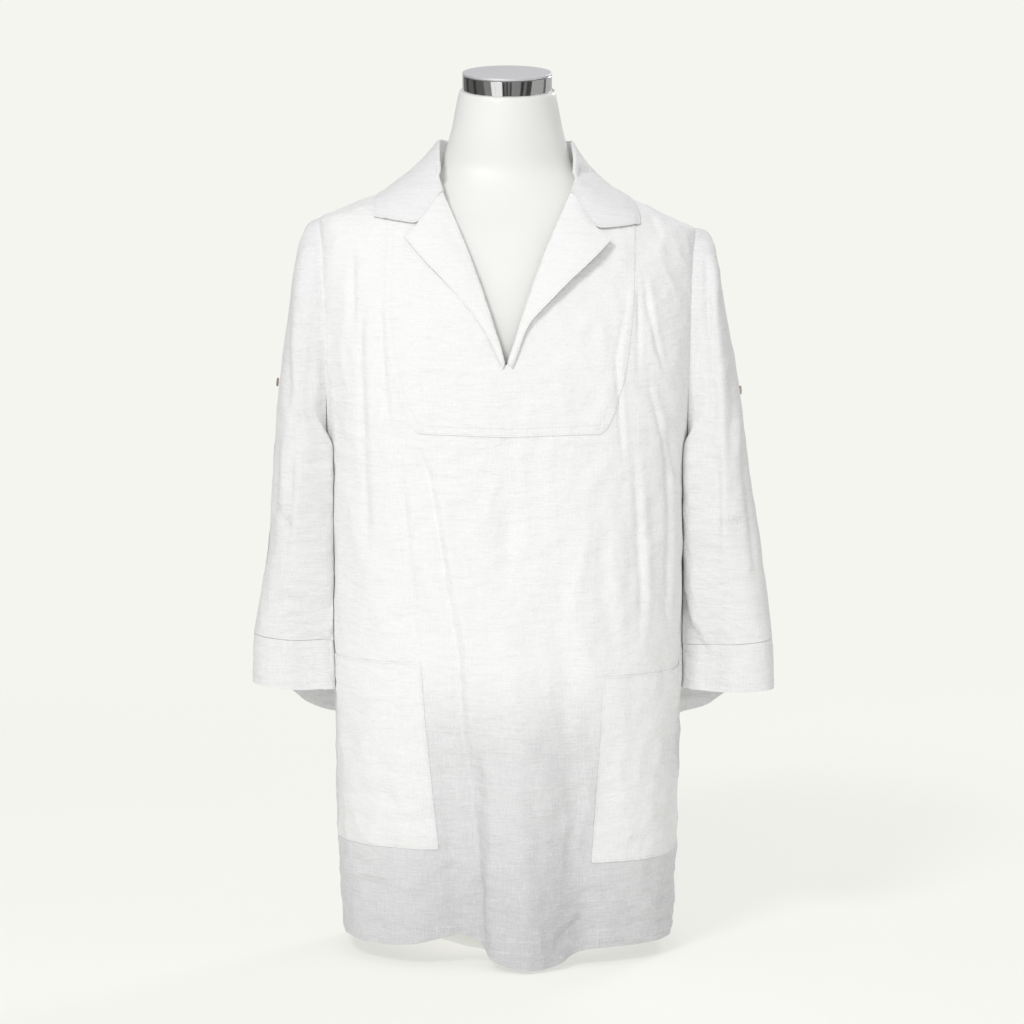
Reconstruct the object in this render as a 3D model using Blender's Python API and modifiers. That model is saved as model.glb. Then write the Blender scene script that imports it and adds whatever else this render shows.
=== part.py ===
"""A long white linen shirt on a limbless dress form.

The shirt has a V neck with a notched collar and folded lapels, a second layer
on the chest, two patch pockets, and three-quarter sleeves that end in cuff
bands and carry a buttoned tab. Lengths are in metres, Z is up and the front
faces -Y. The origin is the centre of the form's flat underside.
"""

import math
from collections import namedtuple

import bmesh
import bpy
import numpy as np
from mathutils import Euler
from mathutils import Matrix
from mathutils import Vector
from mathutils.bvhtree import BVHTree

for old in list(bpy.data.objects):
    bpy.data.objects.remove(old, do_unlink=True)

# Cloth and seams
CLOTH = 0.0012
SEAM_SETBACK = 0.0003
MOST_STRETCH = 1.6
SMOOTH_ANGLE = math.radians(40)
LAYER_GAP = 0.0005
LYING_GAP = 0.0014

# Shoulder line, a straight ridge from the neck point to the shoulder tip
NECK_POINT_X = 0.074
NECK_POINT_Z = 0.806
SHOULDER_TIP_X = 0.193
SHOULDER_TIP_Z = 0.752
SHOULDER_SLOPE = (NECK_POINT_Z - SHOULDER_TIP_Z) / (SHOULDER_TIP_X - NECK_POINT_X)
RIDGE_DROP = 0.0011

# Armhole, an upright oval between the underarm and the shoulder tip
UNDERARM_Z = 0.500
ARMHOLE_FRONT = 0.062
ARMHOLE_BACK = 0.058
ARMHOLE_ANGLES = (0, 17, 34, 50, 68, 88, 108, 126, 141, 152, 161, 168, 174, 180)

# Columns of the panels on each side of the marked line
OUTER_COLUMNS = 7
INNER_COLUMNS = 7

# Depth behind the side seam, and share of a row from the armhole, over which the
# folds fade in
SIDE_FADE = 0.055
ARMHOLE_FADE = 0.2

# Neck cap
CAP_TILT = math.radians(12)
CAP_RADIUS = 0.046
CAP_BASE_Z = 0.889
CAP_SEGMENTS = 36
CAP_ROUND = 0.0008
BAND_HEIGHT = 0.0150
PLATE_HEIGHT = 0.0025
PART_GAP = 0.0003
NECK_TILT_FROM = 0.835

# Sleeve tab and button
TAB_HALF_ANGLE = 7.5
TAB_TOP_RING = 5
TAB_LOW_RING = 9
BUTTON_RADIUS = 0.0055
BUTTON_THICK = 0.0024
BUTTON_DROP = 0.008
BUTTON_GAP = 0.0005
BUTTON_SEGMENTS = 20
BUTTON_ROUND = 0.0006

Ring = namedtuple("Ring", "z half_width front back power")
Mark = namedtuple("Mark", "z left right")
Drop = namedtuple("Drop", "z drop")
Settle = namedtuple("Settle", "x rise")
HemPoint = namedtuple("HemPoint", "x z")
NeckStep = namedtuple("NeckStep", "z_front x_front z_back x_back")
Fold = namedtuple("Fold", "side x_top z_top x_low z_low width out")
SleeveRing = namedtuple("SleeveRing", "x_out z_out x_in z_in depth skew drop")
FreeEdge = namedtuple("FreeEdge", "x z lift_left lift_right")
Station = namedtuple("Station", "rise lean edge_x edge_y edge_z fold_in edge_in")


class Profile:
    """Smooth curves without overshoot through the rows of a table, by its first column."""

    def __init__(self, kind, rows):
        self.kind = kind
        self.z = np.array([row[0] for row in rows])
        self.values = np.array([row[1:] for row in rows])
        steps = np.diff(self.z)[:, None]
        rates = np.diff(self.values, axis=0) / steps
        inner = np.where(
            rates[:-1] * rates[1:] > 0,
            2 * rates[:-1] * rates[1:] / (rates[:-1] + rates[1:] + 1e-12),
            0,
        )
        self.slopes = np.vstack([rates[:1], inner, rates[-1:]])

    def at(self, z):
        z = min(max(z, self.z[0]), self.z[-1])
        i = min(max(int(np.searchsorted(self.z, z)) - 1, 0), len(self.z) - 2)
        h = self.z[i + 1] - self.z[i]
        t = (z - self.z[i]) / h
        value = (
            (1 + 2 * t) * (1 - t) ** 2 * self.values[i]
            + t * (1 - t) ** 2 * h * self.slopes[i]
            + t * t * (3 - 2 * t) * self.values[i + 1]
            + t * t * (t - 1) * h * self.slopes[i + 1]
        )
        return self.kind(z, *value)


SHIRT = Profile(
    Ring,
    [
        Ring(0.000, 0.1700, 0.122, 0.122, 2.5),
        Ring(0.120, 0.1755, 0.125, 0.124, 2.5),
        Ring(0.310, 0.1795, 0.127, 0.124, 2.6),
        Ring(0.420, 0.1810, 0.127, 0.120, 2.7),
        Ring(0.500, 0.1835, 0.127, 0.116, 2.8),
        Ring(0.560, 0.1880, 0.127, 0.113, 3.0),
        Ring(0.610, 0.1915, 0.125, 0.111, 3.1),
        Ring(0.660, 0.1940, 0.117, 0.108, 3.1),
        Ring(0.700, 0.1950, 0.105, 0.101, 3.0),
        Ring(0.730, 0.1945, 0.092, 0.092, 2.8),
        Ring(0.752, 0.1930, 0.082, 0.084, 2.6),
        Ring(0.780, 0.1313, 0.070, 0.074, 2.4),
        Ring(0.806, 0.0740, 0.060, 0.065, 2.3),
    ],
)

FORM = Profile(
    Ring,
    [
        Ring(0.000, 0.0500, 0.044, 0.048, 2.0),
        Ring(0.010, 0.0800, 0.060, 0.064, 2.1),
        Ring(0.030, 0.1220, 0.080, 0.084, 2.2),
        Ring(0.060, 0.1450, 0.092, 0.097, 2.3),
        Ring(0.110, 0.1580, 0.100, 0.106, 2.4),
        Ring(0.190, 0.1630, 0.105, 0.110, 2.4),
        Ring(0.300, 0.1550, 0.100, 0.106, 2.3),
        Ring(0.400, 0.1420, 0.091, 0.094, 2.3),
        Ring(0.480, 0.1460, 0.098, 0.090, 2.3),
        Ring(0.560, 0.1580, 0.111, 0.094, 2.4),
        Ring(0.610, 0.1650, 0.114, 0.098, 2.4),
        Ring(0.660, 0.1710, 0.106, 0.097, 2.5),
        Ring(0.700, 0.1750, 0.093, 0.090, 2.5),
        Ring(0.735, 0.1770, 0.079, 0.079, 2.5),
        Ring(0.750, 0.1760, 0.072, 0.074, 2.4),
        Ring(0.7595, 0.1700, 0.066, 0.069, 2.3),
    ],
)

NECK = Profile(
    Ring,
    [
        Ring(0.7595, 0.1700, 0.066, 0.069, 2.3),
        Ring(0.7800, 0.1295, 0.055, 0.059, 2.2),
        Ring(0.8000, 0.0855, 0.046, 0.047, 2.0),
        Ring(0.8055, 0.0735, 0.045, 0.046, 2.0),
        Ring(0.8145, 0.0670, 0.045, 0.047, 2.0),
        Ring(0.8350, 0.0615, 0.047, 0.049, 2.0),
        Ring(0.8480, 0.0575, 0.048, 0.050, 2.0),
        Ring(0.8600, 0.0552, 0.048, 0.049, 2.0),
        Ring(0.8730, 0.0530, 0.048, 0.048, 2.0),
        Ring(0.8885, 0.0495, 0.048, 0.048, 2.0),
    ],
)

# Line that the pockets' inner sides and the bib's sides follow
MARKS = Profile(
    Mark,
    [
        Mark(0.000, 0.062, 0.078),
        Mark(0.120, 0.070, 0.085),
        Mark(0.310, 0.087, 0.096),
        Mark(0.450, 0.090, 0.097),
        Mark(0.540, 0.095, 0.100),
        Mark(0.575, 0.109, 0.112),
        Mark(0.620, 0.121, 0.122),
        Mark(0.680, 0.124, 0.127),
        Mark(0.750, 0.121, 0.129),
        Mark(0.790, 0.119, 0.126),
    ],
)

# Heights of the level rows, from the second row above the hem to the underarm
LEVELS = (0.045, 0.082, 0.120, 0.168, 0.216, 0.263, 0.310, 0.348, 0.388, 0.428, 0.465)
POCKET_ROWS = (3, 7)
POCKET_COLUMNS = (1, OUTER_COLUMNS)
UNDERARM_ROW = len(LEVELS) + 1
BIB_ROW = UNDERARM_ROW + 3
V_ROW = UNDERARM_ROW + 5
GORGE_ROW = UNDERARM_ROW + 10
BACK_NECK_ROW = UNDERARM_ROW + 9
LEVEL_RAISED_ROWS = 5
RAISED_BLEND_ROWS = 3

# The rows run lower on the right half of the front, beyond RIGHT_DROP_X
RIGHT_DROP = Profile(
    Drop,
    [Drop(0.00, 0.000), Drop(0.10, 0.014), Drop(0.32, 0.014), Drop(0.46, 0.000)],
)
RIGHT_DROP_X = 0.07

# How the shoulders rise or settle over x, fading in above SETTLE_FROM
SETTLE = Profile(
    Settle,
    [
        Settle(-0.260, 0.0050),
        Settle(-0.193, 0.0050),
        Settle(-0.158, 0.0045),
        Settle(-0.130, 0.0010),
        Settle(-0.090, 0.0000),
        Settle(0.055, 0.0000),
        Settle(0.075, -0.0030),
        Settle(0.113, -0.0060),
        Settle(0.152, -0.0054),
        Settle(0.260, -0.0056),
    ],
)
SETTLE_FROM = 0.50
SETTLE_FULL = 0.72

# Ends of the rows above the underarm, at the centre or on the neck edge
NECK_STEPS = (
    NeckStep(0.500, 0.0000, 0.500, 0.000),
    NeckStep(0.513, 0.0000, 0.532, 0.000),
    NeckStep(0.527, 0.0000, 0.566, 0.000),
    NeckStep(0.538, 0.0000, 0.600, 0.000),
    NeckStep(0.573, 0.0000, 0.634, 0.000),
    NeckStep(0.606, 0.0000, 0.668, 0.000),
    NeckStep(0.642, 0.0110, 0.700, 0.000),
    NeckStep(0.680, 0.0235, 0.731, 0.000),
    NeckStep(0.718, 0.0375, 0.760, 0.000),
    NeckStep(0.752, 0.0520, 0.783, 0.000),
    NeckStep(0.781, 0.0650, 0.786, 0.030),
    NeckStep(0.796, 0.0705, 0.792, 0.053),
    NeckStep(0.8035, 0.0732, 0.801, 0.0685),
    NeckStep(0.806, 0.0740, 0.806, 0.074),
)

HEM_FRONT = Profile(
    HemPoint,
    [
        HemPoint(-0.180, 0.020),
        HemPoint(-0.120, 0.019),
        HemPoint(-0.080, 0.026),
        HemPoint(-0.042, 0.033),
        HemPoint(-0.022, 0.018),
        HemPoint(0.000, 0.006),
        HemPoint(0.018, 0.004),
        HemPoint(0.045, 0.006),
        HemPoint(0.078, 0.020),
        HemPoint(0.180, 0.020),
    ],
)
HEM_BACK_Z = 0.018

FOLDS = (
    Fold("front", 0.004, 0.46, 0.020, 0.00, 0.036, 0.036),
    Fold("front", -0.100, 0.56, -0.040, 0.00, 0.019, -0.014),
    Fold("front", 0.060, 0.40, 0.078, 0.00, 0.020, -0.008),
    Fold("front", -0.075, 0.30, -0.105, 0.00, 0.028, 0.006),
    Fold("back", -0.055, 0.62, -0.070, 0.00, 0.030, 0.012),
    Fold("back", 0.000, 0.60, 0.006, 0.00, 0.028, -0.008),
    Fold("back", 0.060, 0.60, 0.066, 0.00, 0.032, 0.010),
    Fold("back", 0.125, 0.50, 0.122, 0.00, 0.022, -0.006),
)

LEFT_SLEEVE = (
    SleeveRing(0.1930, 0.7520, 0.1835, 0.500, 0.060, 0.000, 0.000),
    SleeveRing(0.2040, 0.7480, 0.1880, 0.496, 0.065, 0.000, 0.000),
    SleeveRing(0.2125, 0.7340, 0.1905, 0.488, 0.069, 0.001, 0.001),
    SleeveRing(0.2180, 0.7060, 0.1915, 0.474, 0.072, 0.002, 0.003),
    SleeveRing(0.2230, 0.6560, 0.1915, 0.450, 0.073, 0.003, 0.006),
    SleeveRing(0.2325, 0.5940, 0.1910, 0.424, 0.072, 0.004, 0.009),
    SleeveRing(0.2378, 0.5400, 0.1905, 0.398, 0.069, 0.004, 0.012),
    SleeveRing(0.2405, 0.4860, 0.1895, 0.374, 0.065, 0.005, 0.015),
    SleeveRing(0.2430, 0.4280, 0.1890, 0.352, 0.061, 0.006, 0.018),
    SleeveRing(0.2500, 0.3740, 0.1880, 0.336, 0.057, 0.007, 0.020),
    SleeveRing(0.2610, 0.3300, 0.1875, 0.322, 0.054, 0.007, 0.022),
    SleeveRing(0.2625, 0.3050, 0.1875, 0.297, 0.054, 0.007, 0.022),
    SleeveRing(0.2630, 0.2790, 0.1875, 0.271, 0.054, 0.007, 0.022),
)

RIGHT_SLEEVE = (
    SleeveRing(0.1930, 0.7520, 0.1835, 0.500, 0.060, 0.000, 0.000),
    SleeveRing(0.2065, 0.7510, 0.1880, 0.496, 0.065, 0.001, 0.000),
    SleeveRing(0.2130, 0.7400, 0.1915, 0.488, 0.069, 0.004, 0.001),
    SleeveRing(0.2145, 0.7110, 0.1935, 0.474, 0.072, 0.008, 0.003),
    SleeveRing(0.2225, 0.6600, 0.1950, 0.452, 0.072, 0.010, 0.006),
    SleeveRing(0.2345, 0.5890, 0.1960, 0.424, 0.071, 0.012, 0.010),
    SleeveRing(0.2392, 0.5390, 0.1970, 0.398, 0.068, 0.013, 0.014),
    SleeveRing(0.2465, 0.4840, 0.1980, 0.374, 0.064, 0.014, 0.017),
    SleeveRing(0.2550, 0.4260, 0.1985, 0.352, 0.061, 0.015, 0.020),
    SleeveRing(0.2625, 0.3720, 0.1990, 0.332, 0.057, 0.016, 0.022),
    SleeveRing(0.2680, 0.3260, 0.1990, 0.318, 0.055, 0.017, 0.024),
    SleeveRing(0.2705, 0.3010, 0.1990, 0.294, 0.055, 0.017, 0.024),
    SleeveRing(0.2710, 0.2740, 0.1990, 0.269, 0.055, 0.017, 0.024),
)
CUFF_RING = 10
SLEEVE_POWER = 2.3
ARMHOLE_BLEND_RINGS = 3
SLEEVE_SEAM_TOP = 0.0005
SLEEVE_SEAM_LOW = 0.0034

# Free edge of the lapels, one row for each row of the front from the V to the gorge
LAPEL_EDGE = (
    FreeEdge(0.0075, 0.6140, 0.0000, 0.0000),
    FreeEdge(0.0150, 0.6330, 0.0000, 0.0010),
    FreeEdge(0.0370, 0.6650, 0.0000, 0.0045),
    FreeEdge(0.0610, 0.6920, 0.0004, 0.0070),
    FreeEdge(0.0860, 0.7160, 0.0006, 0.0080),
    FreeEdge(0.1040, 0.7380, 0.0008, 0.0060),
)
LAPEL_START = 0.40
LAPEL_INSET = 0.0010
LAPEL_AHEAD = 0.03
LAPEL_COLUMNS = 5
LAPEL_ROLL = 0.0012
NOTCH_X = 0.0885
NOTCH_Z = 0.7505
LEAF_TIP_X = 0.1345
LEAF_TIP_Z = 0.7560
NOTCH_COLUMN = 2
GORGE_TURN = 0.003

# Collar from the centre back to the gorge: rise of the fold above the seam, how
# far it leans out from the seam, where the leaf's outer edge lies, and how much
# further in the fold and that edge are on the right
COLLAR_STATIONS = (
    Station(0.046, 0.008, 0.0000, 0.108, 0.764, 0.000, 0.000),
    Station(0.045, 0.008, 0.0360, 0.103, 0.765, 0.001, 0.000),
    Station(0.044, 0.007, 0.0700, 0.092, 0.768, 0.002, 0.002),
    Station(0.041, 0.004, 0.0960, 0.074, 0.773, 0.003, 0.005),
    Station(0.036, 0.000, 0.1130, 0.050, 0.780, 0.004, 0.010),
    Station(0.031, -0.003, 0.1240, 0.025, 0.783, 0.004, 0.016),
    Station(0.026, -0.005, 0.1280, 0.000, 0.783, 0.003, 0.019),
    Station(0.018, -0.004, 0.1310, -0.020, 0.778, 0.001, 0.013),
    Station(0.010, -0.003, 0.1330, -0.036, 0.770, 0.000, 0.005),
)
FRONT_LINES = 3
FOLD_RADIUS = 0.0017
COLLAR_SEAM_RISE = 0.0012
GORGE_GAP = 0.0010
LEAF_SEGMENTS = 6
LEAF_BULGE = -0.0015
LEAF_GAP = 0.0026

FORM_SEGMENTS = 32
FORM_LEVELS = (
    0.000, 0.004, 0.010, 0.019, 0.030, 0.044, 0.062, 0.085, 0.115, 0.190, 0.260, 0.330,
    0.390, 0.440, 0.490, 0.540, 0.580, 0.620, 0.660, 0.700, 0.730, 0.748, 0.7595,
)
NECK_LEVELS = (
    0.7695, 0.7795, 0.7895, 0.7995, 0.8055, 0.8095, 0.8145,
    0.8210, 0.8290, 0.8380, 0.8480, 0.8600, 0.8730, 0.8885,
)


def lerp(a, b, t):
    return a + (b - a) * t


def ease(t):
    t = min(max(t, 0.0), 1.0)
    return t * t * (3 - 2 * t)


def half_width(z):
    """Half-width of the shirt at a height; above the shoulder tip it is the ridge."""
    if z >= SHOULDER_TIP_Z:
        return NECK_POINT_X + (NECK_POINT_Z - z) / SHOULDER_SLOPE
    return SHIRT.at(z).half_width


def shirt_depth(x, z, side):
    """Distance from the middle plane to the shirt's inner face at (x, z)."""
    ring = SHIRT.at(z)
    depth = ring.front if side == "front" else ring.back
    share = 1 - (abs(x) / half_width(z)) ** ring.power
    return depth * max(share, 0.0) ** (1 / ring.power)


def ridge_z(x):
    """Height of the shoulder line over x, level across the neck."""
    return NECK_POINT_Z - max(abs(x) - NECK_POINT_X, 0.0) * SHOULDER_SLOPE


def fold_out(x, z, side):
    """How far the folds push the cloth out at (x, z)."""
    total = 0.0
    for fold in FOLDS:
        if fold.side != side:
            continue
        along = (fold.z_top - z) / (fold.z_top - fold.z_low)
        middle = lerp(fold.x_top, fold.x_low, min(max(along, 0), 1))
        total += fold.out * ease(along) * math.exp(-(((x - middle) / fold.width) ** 2))
    return total


def armhole_point(k, side, hand):
    """Point of the armhole's edge, k counted up from the underarm."""
    angle = math.radians(ARMHOLE_ANGLES[k])
    middle = (UNDERARM_Z + SHOULDER_TIP_Z) / 2
    z = middle - (SHOULDER_TIP_Z - UNDERARM_Z) / 2 * math.cos(angle)
    depth = ARMHOLE_FRONT if side == "front" else ARMHOLE_BACK
    y = depth * math.sin(angle)
    ring = SHIRT.at(z)
    body = ring.front if side == "front" else ring.back
    x = half_width(z) * (1 - (y / body) ** ring.power) ** (1 / ring.power)
    sign = -1 if side == "front" else 1
    return Vector((hand * x, sign * y, z))


def mark_x(z, hand):
    row = MARKS.at(z)
    return row.left if hand < 0 else row.right


def spread(outer, mark, inner, ring_width, power):
    """Distances from the centre line of a row's points, from its outer to its inner end."""
    first = math.acos(min((outer / ring_width) ** (power / 2), 1))
    second = math.acos(min((mark / ring_width) ** (power / 2), 1))
    found = []
    for i in range(OUTER_COLUMNS):
        angle = lerp(first, second, i / OUTER_COLUMNS)
        found.append(ring_width * math.cos(angle) ** (2 / power))
    found[0] = outer
    for i in range(INNER_COLUMNS + 1):
        found.append(lerp(mark, inner, i / INNER_COLUMNS))
    return found


def level_row(index, side, hand):
    """Row of points from the side seam to the centre, below the underarm."""
    sign = -1 if side == "front" else 1
    z = LEVELS[index - 1] if 0 < index <= len(LEVELS) else UNDERARM_Z
    if index == 0:
        z = HEM_BACK_Z
    ring = SHIRT.at(z)
    points = []
    for x in spread(ring.half_width, mark_x(z, hand), 0.0, ring.half_width, ring.power):
        depth = shirt_depth(x, z, side)
        height = z
        if index == 0 and side == "front":
            height = lerp(HEM_BACK_Z, HEM_FRONT.at(hand * x).z, ease(depth / SIDE_FADE))
        if hand > 0 and side == "front":
            height -= RIGHT_DROP.at(z).drop * ease(x / RIGHT_DROP_X) * ease(depth / SIDE_FADE)
        out = fold_out(hand * x, z, side) * ease(depth / SIDE_FADE)
        points.append(Vector((hand * x, sign * (depth + out), height)))
    return points


def raised_row(k, side, hand):
    """Row of points from the armhole to the centre or the neck edge."""
    sign = -1 if side == "front" else 1
    start = armhole_point(k, side, hand)
    step = NECK_STEPS[k]
    x_end = step.x_front if side == "front" else step.x_back
    z_end = step.z_front if side == "front" else step.z_back
    z_mark = lerp(start.z, z_end, 0.5)
    width = half_width(start.z)
    xs = spread(abs(start.x), mark_x(z_mark, hand), x_end, width, SHIRT.at(start.z).power)
    follow = ease((k - LEVEL_RAISED_ROWS) / RAISED_BLEND_ROWS)
    points = [start]
    for x in xs[1:]:
        share = (abs(start.x) - x) / (abs(start.x) - x_end)
        drop = lerp(ridge_z(start.x) - start.z, ridge_z(x_end) - z_end, share)
        z = lerp(lerp(start.z, z_end, share), ridge_z(x) - drop, follow)
        y = 0.0
        if k < len(ARMHOLE_ANGLES) - 1:
            y = shirt_depth(x, z, side)
            y += fold_out(hand * x, z, side) * ease(share / ARMHOLE_FADE)
        points.append(Vector((hand * x, sign * y, z)))
    return points


class Cloth:
    """An open sheet of triangles that later gets its thickness."""

    def __init__(self, name):
        self.name = name
        self.points = []
        self.faces = []

    def add(self, point):
        self.points.append(Vector(point))
        return len(self.points) - 1

    def grid(self, rows):
        for low, high in zip(rows, rows[1:]):
            for i in range(len(low) - 1):
                corners = (low[i], low[i + 1], high[i + 1], high[i])
                for face in (corners[:3], (corners[0], corners[2], corners[3])):
                    if len(set(face)) == 3:
                        self.faces.append(face)

    def face_out(self, inside):
        """Turns each face away from the point that inside() gives for its centre."""
        turned = []
        for face in self.faces:
            a, b, c = (self.points[i] for i in face)
            centre = (a + b + c) / 3
            normal = (b - a).cross(c - a)
            away = normal.dot(centre - inside(centre)) > 0
            turned.append(face if away else face[::-1])
        self.faces = turned

    def sheet_out(self, inside):
        """Turns the whole sheet where most of it faces the point that inside() gives."""
        total = 0.0
        for face in self.faces:
            a, b, c = (self.points[i] for i in face)
            total += (b - a).cross(c - a).dot((a + b + c) / 3 - inside((a + b + c) / 3))
        if total < 0:
            self.faces = [face[::-1] for face in self.faces]

    def edges_once(self):
        """Edges of the sheet's rim, each with the third corner of its face."""
        seen = {}
        for face in self.faces:
            for i in range(3):
                a, b, c = face[i], face[(i + 1) % 3], face[(i + 2) % 3]
                key = (min(a, b), max(a, b))
                seen.setdefault(key, []).append((a, b, c))
        return [uses[0] for uses in seen.values() if len(uses) == 1]


def place_key(point):
    return tuple(round(value * 1e6) for value in point)


def shared_normals(cloths):
    """Normals at each place, averaged over all the sheets that meet there."""
    sums = {}
    for cloth in cloths:
        for face in cloth.faces:
            a, b, c = (cloth.points[i] for i in face)
            normal = (b - a).cross(c - a)
            for corner in (a, b, c):
                key = place_key(corner)
                sums[key] = sums.get(key, Vector((0, 0, 0))) + normal
    return {key: value.normalized() for key, value in sums.items()}


def set_back(cloth, keys):
    """Moves the rim points whose places are in keys a little into the sheet."""
    moves = {}
    for a, b, c in cloth.edges_once():
        if place_key(cloth.points[a]) not in keys or place_key(cloth.points[b]) not in keys:
            continue
        along = (cloth.points[b] - cloth.points[a]).normalized()
        inward = cloth.points[c] - cloth.points[a]
        inward -= along * inward.dot(along)
        for i in (a, b):
            moves.setdefault(i, []).append(inward.normalized())
    for i, directions in moves.items():
        total = sum(directions, Vector((0, 0, 0)))
        stretch = min(len(directions) / max(total.length, CLOTH), MOST_STRETCH)
        cloth.points[i] += total.normalized() * SEAM_SETBACK * stretch


def solid(cloth, normals, thick=CLOTH):
    """Closed wall with the sheet as its inner face."""
    count = len(cloth.points)
    points = list(cloth.points)
    points += [p + n * thick for p, n in zip(cloth.points, normals)]
    faces = [tuple(i + count for i in face) for face in cloth.faces]
    faces += [face[::-1] for face in cloth.faces]
    for a, b, _ in cloth.edges_once():
        faces.append((a, b, b + count))
        faces.append((a, b + count, a + count))
    return points, faces


def material(name, colour, roughness, metallic=0.0):
    found = bpy.data.materials.new(name)
    found.use_nodes = True
    shader = found.node_tree.nodes["Principled BSDF"]
    shader.inputs["Base Color"].default_value = (*colour, 1)
    shader.inputs["Roughness"].default_value = roughness
    shader.inputs["Metallic"].default_value = metallic
    return found


parts = bpy.data.collections.new("long_shirt_on_dress_form")
bpy.context.scene.collection.children.link(parts)


def settled(point):
    """The point moved up or down with the shoulder that it belongs to."""
    x, y, z = point
    share = ease((z - SETTLE_FROM) / (SETTLE_FULL - SETTLE_FROM))
    return (x, y, z + SETTLE.at(x).rise * share)


def add_object(name, points, faces, look, smooth=True):
    mesh = bpy.data.meshes.new(name)
    mesh.from_pydata([settled(p) for p in points], [], faces)
    work = bmesh.new()
    work.from_mesh(mesh)
    bmesh.ops.recalc_face_normals(work, faces=work.faces)
    work.to_mesh(mesh)
    work.free()
    mesh.materials.append(look)
    if smooth:
        mesh.shade_smooth()
        mesh.set_sharp_from_angle(angle=SMOOTH_ANGLE)
    made = bpy.data.objects.new(name, mesh)
    parts.objects.link(made)
    return made


def linen(name):
    return material("linen_" + name, (0.90, 0.90, 0.885), 0.85)


def body_axis(point):
    return Vector((0, 0, point.z))


def body_panel(side):
    """Front or back as one sheet, with its point numbers by hand and row."""
    cloth = Cloth(side)
    split = V_ROW if side == "front" else BACK_NECK_ROW
    rows = {-1: [], 1: []}
    for hand in (-1, 1):
        for index in range(UNDERARM_ROW + len(ARMHOLE_ANGLES)):
            if index < UNDERARM_ROW:
                points = level_row(index, side, hand)
            else:
                points = raised_row(index - UNDERARM_ROW, side, hand)
            numbers = [cloth.add(p) for p in points[:-1]]
            if hand > 0 and index <= split:
                numbers.append(rows[-1][index][-1])
            else:
                numbers.append(cloth.add(points[-1]))
            rows[hand].append(numbers)
        cloth.grid(rows[hand])
    cloth.face_out(body_axis)
    return cloth, rows


def sleeve_ring_point(ring, angle):
    """Point of a sleeve section; angle 0 is its outer end and 90 degrees its front."""
    cosine, sine = math.cos(angle), math.sin(angle)
    across = math.copysign(abs(cosine) ** (2 / SLEEVE_POWER), cosine)
    deep = math.copysign(abs(sine) ** (2 / SLEEVE_POWER), sine)
    x = (ring.x_out + ring.x_in) / 2 + (ring.x_out - ring.x_in) / 2 * across
    z = (ring.z_out + ring.z_in) / 2 + (ring.z_out - ring.z_in) / 2 * across
    lower = ring.drop * max(-deep, 0.0) * (1 - across)
    return Vector((x + ring.skew * deep, -ring.depth * deep, z - lower))


def sleeve_points(table, hand):
    """Rings of points of one sleeve and its cuff, from the armhole down."""
    count = len(ARMHOLE_ANGLES) - 1
    around = []
    for k in range(count, 0, -1):
        around.append((math.radians(180 - ARMHOLE_ANGLES[k]), k, "front"))
    for k in range(count):
        around.append((math.radians(180 + ARMHOLE_ANGLES[k]), k, "back"))
    first = []
    for angle, k, side in around:
        clear = lerp(SLEEVE_SEAM_LOW, SLEEVE_SEAM_TOP, seam_share(angle))
        first.append(armhole_point(k, side, hand) + Vector((hand * clear, 0, 0)))
    rings = []
    for number, ring in enumerate(table):
        points = []
        for (angle, _, _), start in zip(around, first):
            point = sleeve_ring_point(ring, angle)
            base = sleeve_ring_point(table[0], angle)
            fade = 1 - ease(number / ARMHOLE_BLEND_RINGS)
            point = Vector((hand * point.x, point.y, point.z))
            base = Vector((hand * base.x, base.y, base.z))
            points.append(point + (start - base) * fade)
        rings.append(points)
    return rings, around


def seam_share(angle):
    """How far sleeve and panel share their direction: fully above the armhole's
    middle, and not at all at the underarm, where the cloth folds back on itself."""
    return ease(1 + math.cos(angle))


def tube(name, rings):
    cloth = Cloth(name)
    numbers = []
    for points in rings:
        row = [cloth.add(p) for p in points]
        numbers.append(row + row[:1])
    cloth.grid(numbers)
    middles = [sum(points, Vector((0, 0, 0))) / len(points) for points in rings]

    def inside(point):
        return min(middles, key=lambda middle: (middle - point).length)

    cloth.face_out(inside)
    return cloth


def join_armhole(panels, sleeve, around, hand):
    """Gives the sleeve's first ring and the panels' edges one direction at the seam."""
    for j, (angle, k, side) in enumerate(around):
        ends = k in (0, len(ARMHOLE_ANGLES) - 1)
        sides = ("front", "back") if ends else (side,)
        mixed = sleeve[1][j].copy()
        for name in sides:
            cloth_rows, normals = panels[name]
            mixed += normals[cloth_rows[hand][UNDERARM_ROW + k][0]] / len(sides)
        mixed.normalize()
        share = seam_share(angle)
        sleeve[1][j] = sleeve[1][j].lerp(mixed, share).normalized()
        for name in sides:
            cloth_rows, normals = panels[name]
            i = cloth_rows[hand][UNDERARM_ROW + k][0]
            normals[i] = normals[i].lerp(mixed, share).normalized()


def sub_sheet(name, cloth, rows, outer, normals, lift):
    """Sheet made from some of another sheet's points, moved out."""
    found = Cloth(name)
    numbers = {}
    for part in rows:
        lines = []
        for line in part:
            for i in line:
                if i not in numbers:
                    numbers[i] = found.add(outer[i] + normals[i] * lift)
            lines.append([numbers[i] for i in line])
        found.grid(lines)
    found.face_out(body_axis)
    kept = [normals[i] for i in numbers]
    return found, kept


def finish_cloth(name, cloth, normals, thick=CLOTH):
    points, faces = solid(cloth, normals, thick)
    add_object(name, points, faces, linen(name))
    return points, faces


def own_normals(cloth):
    table = shared_normals([cloth])
    return [table[place_key(p)] for p in cloth.points]


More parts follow.
